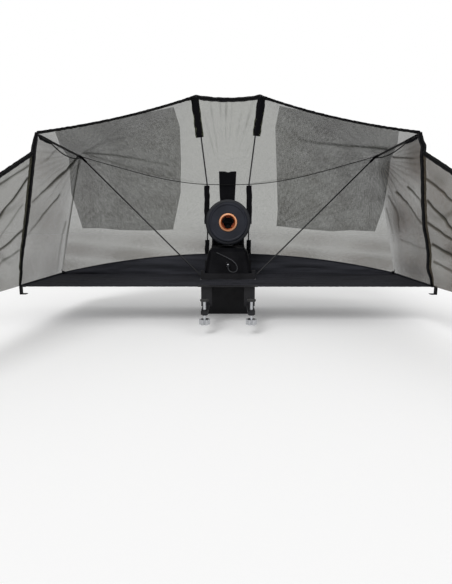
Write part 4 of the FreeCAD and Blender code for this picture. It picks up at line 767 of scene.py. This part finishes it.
right_a = np.linspace(0, 1, 131)
left_part, right_part = saddle(right_a[::-1], -1), saddle(right_a, 1)
m = np.linspace(-1, 1, 51)[None, :, None]
one_side_to_other = np.concatenate([m, np.ones_like(m), np.ones_like(m)], -1)
middle_low, middle_high = KNEE * one_side_to_other, PEAK * one_side_to_other
middle_high[..., 2] -= 11 * (1 - m[..., 0] ** 2)
middle = lerp(middle_low, middle_high, ts)
for part, shares, dip in ((left_part, right_a[::-1], 15), (right_part, right_a, 17)):
    part[..., 2] -= dip * 4 * shares * (1 - shares) * ts[..., 0] ** 3
hood = np.concatenate([left_part[:, :-1], middle, right_part[:, 1:]], 1)
across, upward = np.gradient(hood, axis=1), np.gradient(hood, axis=0)
outward = unit(np.cross(across, upward))
outward = outward * np.sign(outward[..., 1:2] + outward[..., 2:3] + 1e-9)
fold = folds(hood, "wall")
x, z = hood[..., 0], hood[..., 2]
t2 = ts[..., 0]
inside = np.clip(np.minimum(t2, 1 - t2) * 9, 0, 1)
middle_part = np.clip((120 - np.abs(x)) / 40, 0, 1)
from_focus = pixels(hood) - VEIN_FOCUS
far = np.linalg.norm(from_focus, axis=-1)
angle = np.arctan2(from_focus[..., 0], -from_focus[..., 1])
broad = np.sin(angle * 62 + 2.2 * np.sin(angle * 9) + 0.5)
veins = broad + 0.7 * np.sin(angle * 97 + 1.3 * np.sin(angle * 13))
veins = veins * np.clip((far - 22) / 60, 0, 1) * (0.75 + 0.35 * wobble(x, z, 90, 26))
radiate = fan(hood, ELBOW_SEEN[-1], 30, 60, 5) + fan(hood, ELBOW_SEEN[1], 30, 60, 6)
ripple = 1.3 * wobble(x, z, 150, 21) + 0.7 * wobble(x, z, 45, 22) + radiate * 3.0
ripple = ripple * (1 - middle_part) + middle_part * (veins * 1.8 + 0.5 * wobble(x, z, 60, 23))
sag = 5 * np.sin(math.pi * t2) * (1 - middle_part)
hood = hood + outward * (ripple * inside - sag + fold * 2.5 * inside)[..., None]
# Painted shade along the veins in the hood's middle and on the slopes of the radiating wrinkles.
vein_fold = 0.13 * middle_part * np.clip(veins, 0, 2) ** 1.5
hood_fold = np.clip(fold + 0.10 * np.maximum(radiate, 0) ** 2 + vein_fold, 0, 1)
top = grid("net_hood_cloth", hood, "net_mesh", ("net_hood",), fold=hood_fold, warm=0.08 + 0 * x)

# Side panels and wings.



def side_panel(side, front):
    """Points, share of doubled cloth and painted shade, and warmth of the cloth between elbow, corner and
    table.
    """
    v = np.linspace(0, 1, len(front))[:, None]
    w = np.linspace(0, 1, 90)[None, :]
    behind = lerp(mirror(side, ELBOW), mirror(side, BACK), v)
    panel = lerp(behind[:, None], front[:, None], w[..., None])
    fold = folds(panel, "side")
    y, z = panel[..., 1], panel[..., 2]
    out = np.array([side * 0.976, 0, 0.217])
    bulge = 6 * np.sin(math.pi * v) * np.sin(math.pi * w)
    ripple = 1.6 * wobble(y, z, 140, 31 + side) + 0.8 * wobble(y, z, 48, 33 + side)
    radiate = fan(panel, ELBOW_SEEN[side], 38, 55, 7 + side)
    push = bulge + hem_fade(v, w) * (ripple + 2.5 * radiate + fold * 5)
    panel = panel + out * push[..., None]
    bands = np.clip(0.72 + 0.12 * wobble(y, z, 260, 41 + side) + 0.12 * np.sin(z / 31), 0, 1)
    # Painted shade on the slopes of the radiating wrinkles.
    share = np.clip(fold + 0.30 * np.maximum(radiate, 0) ** 2, 0, 1)
    away = 0.25 + 0.75 * np.clip(w * 4, 0, 1)
    # Warmth: browner, denser cloth, partly painted shade of darker surroundings; the right side gets much
    # more.
    return panel, share, bands * away * (1.7 if side > 0 else 0.95)


def wing_panel(side, rim):
    """The same for the cloth between the corner band, the table's edge and the wing's tip."""
    r = np.linspace(0, 1, len(rim))[:, None]
    c = np.linspace(0, 1, 190)[None, :] ** 1.3
    wing = rim[:, None] + (mirror(side, TIP) - rim[:, None]) * c[..., None] * 0.999
    fold = folds(wing, "wing", 0.3)
    inside = hem_fade(r, c)
    y, z = wing[..., 1], wing[..., 2]
    stream = np.sin(np.arctan2(z + 30, y + 1120) * 48 + 1.5 * wobble(y, z, 220, 51 + side))
    push = inside * (4 * stream * (1 - c) + 1.6 * wobble(y, z, 70, 53 + side) + 6 * fold)
    wing = wing + np.array([side * 0.97, 0, 0.2]) * push[..., None]
    # Painted shade on the slopes of the long streaming wrinkles.
    share = np.clip(fold + 0.16 * np.maximum(stream, 0) ** 3 * inside, 0, 1)
    # Warmth: browner, denser cloth, partly painted shade of darker surroundings; the right wing gets much
    # more.
    warm = np.clip(0.8 + 0.12 * wobble(y, z, 200, 55), 0, 1) * (1.35 if side > 0 else 0.6)
    return wing, share, warm


edges = {side: front_edge(side, 110) for side, _ in SIDES}
wing_row = round(WING_START * 109)
sides = {side: side_panel(side, edges[side]) for side, _ in SIDES}
wings = {side: wing_panel(side, edges[side][wing_row:]) for side, _ in SIDES}


def pair(name, parts, look, replaced):
    """Left and right cloth as one piece."""
    points, faces, uv, attributes = [], [], [], {"fold": [], "warm": []}
    offset = 0
    for grid_points, share, warm in parts:
        rows, columns, _ = grid_points.shape
        faces += grid_faces(rows, columns, offset=offset)
        uv.append(np.stack([lengths(grid_points, 1), lengths(grid_points, 0)], -1).reshape(-1, 2))
        points.append(grid_points.reshape(-1, 3))
        attributes["fold"].append(share.ravel())
        attributes["warm"].append(np.broadcast_to(warm, share.shape).ravel())
        offset += rows * columns
    joined = {key: np.concatenate(value) for key, value in attributes.items()}
    return make(name, np.concatenate(points), faces, np.concatenate(uv), look, replaced, **joined)


side_cloth = pair("net_side_cloth", [sides[-1], sides[1]], "net_mesh", ("net_sides",))
wing_cloth = pair("net_wing_cloth", [wings[-1], wings[1]], "net_mesh", ("net_wings",))

# Double mesh patches: their outlines in the photograph, laid on the net's inside.


def tree_of(grids):
    points, faces, offset = [], [], 0
    for g in grids:
        rows, columns, _ = g.shape
        points.append(g.reshape(-1, 3))
        faces += grid_faces(rows, columns, offset=offset)
        offset += rows * columns
    return BVHTree.FromPolygons(np.concatenate(points).tolist(), faces)


net_tree = tree_of([wall, hood, sides[-1][0], sides[1][0]])


def cast(px, py, lift):
    direction = sight(px, py)
    hit, _, _, _ = net_tree.ray_cast(Vector(EYE), Vector(direction), 4000)
    if hit is None:
        return None
    return np.array(hit) - direction * lift


def patch(upper, lower, left, right, columns=76, rows=84):
    """Grid in the photograph between four edges, cast on the net."""
    upper, lower = along_path(upper, columns), along_path(lower, columns)
    left, right = along_path(left, rows), along_path(right, rows)
    a = np.linspace(0, 1, columns)[None, :, None]
    b = np.linspace(0, 1, rows)[:, None, None]
    flat = lerp(left[:, None], right[:, None], a) + lerp(upper[None], lower[None], b)
    flat = flat - lerp(lerp(upper[0], upper[-1], a), lerp(lower[0], lower[-1], a), b)
    points = np.zeros((rows, columns, 3))
    previous = None
    for i in range(rows):
        for j in range(columns):
            found = cast(*flat[i, j], 1.3)
            if found is None:
                found = previous
            points[i, j] = previous = found
    return points


# Upper, lower, left and right edge of each patch.
PATCHES = {
    -1: (
        [(55, 131.5), (112, 119.6), (173.7, 107)],
        [(82.7, 228.4), (100, 228.2), (120, 230), (150, 230.6), (173, 229.4)],
        [(55, 131.5), (60, 145), (68.9, 158), (71.2, 193), (82.7, 228.4)],
        [(173.7, 107), (179.9, 127.4), (181, 160), (180.6, 193), (173, 229.4)],
    ),
    1: (
        [(279.6, 105.8), (335, 117.8), (399, 131.2)],
        [(276.5, 226), (300, 228.6), (333, 231.4), (350, 230.2), (375, 231.4)],
        [(279.6, 105.8), (275.3, 127.4), (276.5, 167), (277.7, 210), (276.5, 226)],
        [(399, 131.2), (397.5, 144), (390.5, 159.5), (387.6, 184), (383.7, 207), (375, 231.4)],
    ),
}
patch_parts = []
for side, outline in PATCHES.items():
    points = patch(*outline)
    at = pixels(points)
    share = 0
    for line, width, depth in FOLDS["wall"]:
        d, t = line_distance(at, line)
        share = np.maximum(share, 0.7 * depth * (1 - 0.6 * t) * np.exp(-((d / width) ** 2)))
    rays = fan(points, PATCH_CORNER_SEEN[side], 52, 38, 9)
    pull = fan(points, ELBOW_SEEN[side], 36, 50, 10)
    # Painted shade: the radiating wrinkles round the lower corner and the elbow darken the patch, more on
    # the right.
    share = share + (0.42 if side > 0 else 0.25) * np.maximum(rays, 0) + 0.2 * np.maximum(pull, 0)
    warm = 0.15 + 0.2 * wobble(points[..., 0], points[..., 2], 120, 60)
    patch_parts.append((points, np.clip(share, 0, 1), warm))
patch_cloth = pair("double_mesh_cloth", patch_parts, "double_mesh", ("dense_patches",))

# Tray of close-woven cloth.

# The floor leaves room for the base (half width, front) and for the lip (half width, back).
BASE_ROOM, LIP_ROOM = (115.0, 204.0), (111.0, 12.4)
cuts = [-BASE_ROOM[0], BASE_ROOM[0], -LIP_ROOM[0], LIP_ROOM[0]]
xs = np.unique(np.concatenate([np.linspace(-BACK[0], BACK[0], 190), cuts]))
ys = np.unique(np.concatenate([np.linspace(1, BACK[1], 56), [LIP_ROOM[1], BASE_ROOM[1]]]))
gx, gy = np.meshgrid(xs, ys)
for side, _ in SIDES:
    rim = sides[side][0][-1]
    reach = np.interp(gy, rim[::-1, 1], np.abs(rim[::-1, 0])) + 0.5
    outer = np.clip((gx * side - 600) / 165.9, 0, 1)
    gx = gx + side * outer * (reach - BACK[0])
keep_x = np.abs((gx[:-1, :-1] + gx[1:, 1:]) / 2)
keep_y = (gy[:-1, :-1] + gy[1:, 1:]) / 2
in_base = (keep_x < BASE_ROOM[0]) & (keep_y > BASE_ROOM[1])
in_lip = (keep_x < LIP_ROOM[0]) & (keep_y < LIP_ROOM[1])
keep = ~in_base & ~in_lip
ends = np.clip(np.minimum(gy, 397 - gy) / 40, 0, 1) * np.clip((762 - np.abs(gx)) / 40, 0, 1)
near_base = np.exp(-((np.abs(gx) / 170) ** 2)) * np.exp(-(((gy - 120) / 80) ** 2))
gz = -0.9 + ends * (0.9 * wobble(gx * 0.35, gy, 40, 71) + 0.5 * wobble(gx, gy, 60, 72))
diagonal = np.sin((gx + gy * 0.8) / 17) * (gx < -20) + np.sin((gx - gy * 0.9) / 19) * (gx > 20)
gz = gz + near_base * 2.6 * diagonal * ends
floor_points = np.stack([gx, gy, gz], -1)
tray = grid("tray_floor_cloth", floor_points, "tray_cloth", ("tray_floor",), keep=keep)

xs = np.linspace(-764.5, 764.5, 220)
vs = np.linspace(0, 1, 34)[:, None]
gx = np.broadcast_to(xs, (34, 220))
gz = lerp(-1.2, seam_z(xs)[None, :], vs)
calm = np.clip((np.abs(gx) - 110) / 60, 0, 1)
gy = 396.4 - np.abs(calm * np.sin(math.pi * vs) * (2.0 + 3.0 * wobble(gx * 0.12, gz, 24, 75)))
wall_points = np.stack([gx, gy, gz], -1)
tray_side = grid("tray_wall_cloth", wall_points, "wall_cloth", ("tray_wall",), slot_name="tray_cloth")

seam_path = np.stack([xs, 0 * xs + 396.0, seam_z(xs)], -1)
tape("tray_seam_tape", seam_path, (0, 0, 1), 6, 1.8, "tray_cloth", seed=81, pucker=0.2)
hem = np.stack([np.linspace(111, 761, 120), np.full(120, 2.5), np.full(120, -0.6)], -1)
join("tray_front_hem", [
    tape(f"tray_hem_{word}", mirror(side, hem), (0, 1, 0), 7, 2.0, "tray_cloth", seed=82 + side, pucker=0.25)
    for side, word in SIDES
])

TIE_MIDDLE = np.array([757, 386, 9.5])
TIE_ENDS = (((-7, -3, -3), (-16, -8, -7)), ((5, -2, 4), (3, -9, 13)))


def corner_tie(side, word):
    """Elastic tied at the tray's back corner: a trefoil knot with two loose ends."""
    turn = np.linspace(0, 2 * math.pi, 60)
    sideways = np.sin(turn) + 2 * np.sin(2 * turn)
    upward = np.cos(turn) - 2 * np.cos(2 * turn)
    middle = mirror(side, TIE_MIDDLE)
    knot = middle + np.stack([sideways, 0.9 * np.sin(3 * turn), upward], -1) * 2.1
    soft = {"look": "pocket_cloth", "slot_name": "elastic"}
    strands = [tape(f"tie_{word}_0", knot, (0, 1, 0), 3.2, 2.4, seed=140, **soft)]
    for k, end in enumerate(TIE_ENDS, start=1):
        tail = along_path(middle + mirror(side, [(0, 0, 0), *end]), 14)
        strands.append(tape(f"tie_{word}_{k}", tail, (0, 1, 0.3), 3.4, 1.8, seed=141 + k, **soft))
    join(f"corner_tie_{word}", strands)


for side, word in SIDES:
    corner_tie(side, word)
side_hems = []
for side, word in SIDES:
    low = sides[side][0][-1]
    path = along_path(low + (-side * 0.4, 0, 0.6), 90)
    width = np.linspace(9, 6, 90)
    side_hems.append(
        tape(f"tray_side_hem_{word}", path, (0, 0, 1), width, 3.2, "tray_cloth", seed=86 + side, pucker=0.3)
    )
join("tray_side_hem", side_hems)

# Bindings, bands, sleeves and strap.

top_row, next_row = hood[-1], hood[-5]
inward = unit(next_row - top_row)
path = top_row + inward * 4.2
in_middle = np.abs(path[:, 0]) < 130
scallop = np.where(in_middle, 1.1 * np.abs(np.sin(path[:, 0] / 13.5)), 0.25 * np.sin(path[:, 0] / 41))
path = path + inward * scallop[:, None]
even = along_path(np.concatenate([path, inward], 1), 420)
top_binding = tape(
    "top_edge_binding", even[:, :3], even[:, 3:], 17.5, 6.0, "binding_cloth", seed=91, pucker=0.5
)

# Width of the corner bands at those shares of their length.
BAND_SHARES = [0, 0.04, 0.12, 0.55, 0.9, 1]
BAND_WIDTHS = {-1: [11, 15, 18, 17, 12, 8], 1: [12, 17, 19, 18, 17, 12]}
bands = []
for side, word in SIDES:
    line = along_path(edges[side], 150) + np.array([-side * 1.0, 0, 0.0])
    width = np.interp(np.linspace(0, 1, 150), BAND_SHARES, BAND_WIDTHS[side])
    across = (-side * 0.82, 0.5, 0)
    bands.append(
        tape(f"corner_band_{word}", line, across, width, 3.6, "binding_cloth", seed=95 + side, pucker=0.7)
    )
join("edge_binding_tapes", [top_binding, *bands], ("edge_bindings",))
rims = []
for side, word in SIDES:
    wing = wings[side][0]
    line = along_path(np.concatenate([wing[0], unit(wing[6] - wing[0])], 1), 200)[:-2]
    path = line[:, :3] + line[:, 3:] * 3.0
    rims.append(
        tape(f"wing_binding_{word}", path, line[:, 3:], 17, 5.0, "binding_cloth", seed=98 + side, pucker=0.5)
    )
join("wing_binding_tapes", rims, ("wing_bindings",))


def pocket(name, start, end, width, radius, back_depth, seed, wide=(1, 0, 0), aside=0):
    """Cloth tube round a rod: flat at its stitched edges, raised over the rod.

    aside is how far its seams stand to one side of the rod.
    """
    start, end = np.asarray(start, float), np.asarray(end, float)
    along = unit(end - start)
    wide = np.asarray(wide, float)
    wide = unit(wide - along * (wide @ along))
    deep = np.cross(along, wide)
    deep = deep * np.sign(deep[1] + 0.3 * deep[2] + 0.2 * deep[0] * np.sign(start[0]))
    count = max(18, int(np.linalg.norm(end - start) / 5))
    s = np.linspace(0, 1, count)
    run = s * np.linalg.norm(end - start)
    w = width * (1 + 0.05 * wobble(run, 0 * run, 40, seed))
    shape = np.array([
        (-0.5, back_depth - 1.6), (-0.36, back_depth - 3.0), (-0.2, -radius * 0.3), (-0.1, -radius - 0.3),
        (0, -radius - 1.1), (0.1, -radius - 0.3), (0.2, -radius * 0.3), (0.36, back_depth - 3.0),
        (0.5, back_depth - 1.6), (0.5, back_depth), (0.25, back_depth + 0.3),
        (-0.25, back_depth + 0.3), (-0.5, back_depth),
    ])
    off_rod = np.abs(shape[None, :, 0]) > 0.15
    drift = 0.8 * wobble(run, 0 * run, 60, seed + 3)[:, None] + aside
    u = shape[None, :, 0] * w[:, None] + drift * off_rod
    crumple = 0.7 * wobble(run[:, None], shape[None, :, 0] * 40, 22, seed + 5)
    d = shape[None, :, 1] + crumple * off_rod * (shape[None, :, 1] < back_depth - 1)
    points = start + along * run[:, None, None] + wide * u[..., None] + deep * d[..., None]
    points = np.concatenate([points, points[:, :1]], 1)
    n = shape.shape[0]
    girth = np.concatenate([shape, shape[:1]]) * (width, 1)
    uv_around = lengths(girth[:, None], 0)[:, 0]
    uv = np.stack(np.broadcast_arrays(uv_around[None, :], run[:, None]), -1)
    faces = grid_faces(count, n + 1)
    faces.append(tuple(range(n))[::-1])
    faces.append(tuple((count - 1) * (n + 1) + k for k in range(n)))
    flat = points.reshape(-1, 3)
    return make(name, flat, faces, uv.reshape(-1, 2), "pocket_cloth", slot_name="binding_cloth")


def up_from(foot, height):
    return foot + (0, 0, height)


pockets = []
for side, word in SIDES:
    foot, knee, peak = (mirror(side, q) for q in (ROD_FOOT, ROD_KNEE, ROD_PEAK))
    elbow, corner = mirror(side, ARM_ELBOW), mirror(side, ARM_CORNER)
    lean, start = peak - knee, 0.55 if side < 0 else 0.565
    for place, low, high, width, depth, seed, aside in (
        ("upper", knee + lean * start, knee + lean * 0.985, 34, 5.2, 101, 6),
        ("middle", up_from(foot, 197), up_from(foot, 367), 24, 5.4, 104, 2),
        ("lower", up_from(foot, 64), up_from(foot, 126), 20, 4.3, 107, 2),
    ):
        name = f"{place}_pocket_{word}"
        pockets.append(pocket(name, low, high, width, 3, depth, seed + side, aside=side * aside))
    low, name = elbow + (corner - elbow) * 0.795, f"arm_pocket_{word}"
    pockets.append(pocket(name, low, corner, 21, 4.5, 5.6, 110 + side, wide=(side * 0.35, 0, 0.94)))
join("rod_pocket_cloth", pockets, ("rod_sleeves",))

# Centre strap behind the head, with a small notch in its upper edge.

STRAP_LOW, STRAP_HIGH = 94, 457
rows, columns = 70, 19
s = np.linspace(0, 1, rows)[:, None]
u = np.linspace(-1, 1, columns)[None, :]
z = lerp(STRAP_LOW, STRAP_HIGH, s)
width = np.interp(s, [0, 0.6, 0.8, 1], [31, 32, 36, 38.5])
gx = u * width + 1.2 * np.sin(s * 7) - 2.5 * s
notch = 5 * np.exp(-(((u - 0.05) / 0.22) ** 2)) * np.clip((s - 0.9) * 10, 0, 1)
gz = z - notch + 0 * u
above_knee = np.clip(gz - KNEE[2], 0, 100)
gy = 394.6 - above_knee * 0.2288 + 0.8 * wobble(gx, gz, 70, 121) * np.clip(s * 4, 0, 1) - 1.0
front = np.stack([gx, gy - 1.1 + 0.9 * u**2, gz], -1)
rear = np.stack([gx, gy + 1.1, gz], -1)
loops = np.concatenate([front, rear[:, ::-1], front[:, :1]], 1)
uv_around = np.concatenate([gx, gx[:, ::-1] + 80, gx[:, :1] + 160], 1)
uv = np.stack([uv_around, np.broadcast_to(z, uv_around.shape)], -1)
faces = grid_faces(rows, 2 * columns + 1)
faces.append(tuple(range(2 * columns))[::-1])
faces.append(tuple((rows - 1) * (2 * columns + 1) + k for k in range(2 * columns)))
make(
    "centre_strap_webbing", loops.reshape(-1, 3), faces, uv.reshape(-1, 2), "pocket_cloth",
    ("centre_strap",), "binding_cloth",
)

# Floor, backdrop and light.


STAGE_REACH, STAGE_HEIGHT = 14.0, -0.1502
LIGHTS = (("key", 1.25, (0.35, 0.75, -0.75), 25), ("fill", 0.45, (-0.6, 0.7, -0.4), 40))


def looked_at(tree):
    """1 for the camera's and for mirrored rays, 0 for those that carry light."""
    seen = tree.nodes.new("ShaderNodeLightPath")
    most = tree.nodes.new("ShaderNodeMath")
    most.operation = "MAXIMUM"
    tree.links.new(seen.outputs["Is Camera Ray"], most.inputs[0])
    tree.links.new(seen.outputs["Is Glossy Ray"], most.inputs[1])
    return most.outputs[0]


def make_floor():
    mesh = bpy.data.meshes.new("floor")
    corners = ((-1, -1), (1, -1), (1, 1), (-1, 1))
    points = [(x * STAGE_REACH, y * STAGE_REACH, STAGE_HEIGHT) for x, y in corners]
    mesh.from_pydata(points, [], [(0, 1, 2, 3)])
    floor = bpy.data.objects.new("floor", mesh)
    bpy.context.scene.collection.objects.link(floor)
    material = bpy.data.materials.new("floor")
    material.use_nodes = True
    tree = material.node_tree
    shader = tree.nodes["Principled BSDF"]
    shader.inputs["Base Color"].default_value = (0.86, 0.86, 0.86, 1)
    shader.inputs["Roughness"].default_value = 0.9
    shader.inputs["Specular IOR Level"].default_value = 0.0
    shader.inputs["Emission Color"].default_value = (1, 1, 1, 1)
    amount = tree.nodes.new("ShaderNodeMath")
    amount.operation = "MULTIPLY"
    amount.inputs[1].default_value = 0.16
    tree.links.new(looked_at(tree), amount.inputs[0])
    tree.links.new(amount.outputs[0], shader.inputs["Emission Strength"])
    mesh.materials.append(material)
    floor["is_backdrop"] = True


def make_world():
    world = bpy.data.worlds.new("studio")
    bpy.context.scene.world = world
    world.use_nodes = True
    tree = world.node_tree
    background = tree.nodes["Background"]
    background.inputs["Color"].default_value = (1, 1, 1, 1)
    strength = tree.nodes.new("ShaderNodeMapRange")
    strength.inputs["To Min"].default_value = 0.62
    strength.inputs["To Max"].default_value = 1.0
    tree.links.new(looked_at(tree), strength.inputs["Value"])
    tree.links.new(strength.outputs[0], background.inputs["Strength"])


def make_lights():
    for name, strength, direction, angle in LIGHTS:
        light = bpy.data.lights.new(name, "SUN")
        light.energy, light.angle = strength, math.radians(angle)
        lamp = bpy.data.objects.new(name, light)
        bpy.context.scene.collection.objects.link(lamp)
        lamp.rotation_euler = Vector(direction).to_track_quat("-Z", "Y").to_euler()


make_floor()
make_world()
make_lights()
bpy.context.scene.view_settings.view_transform = "Standard"
low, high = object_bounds()
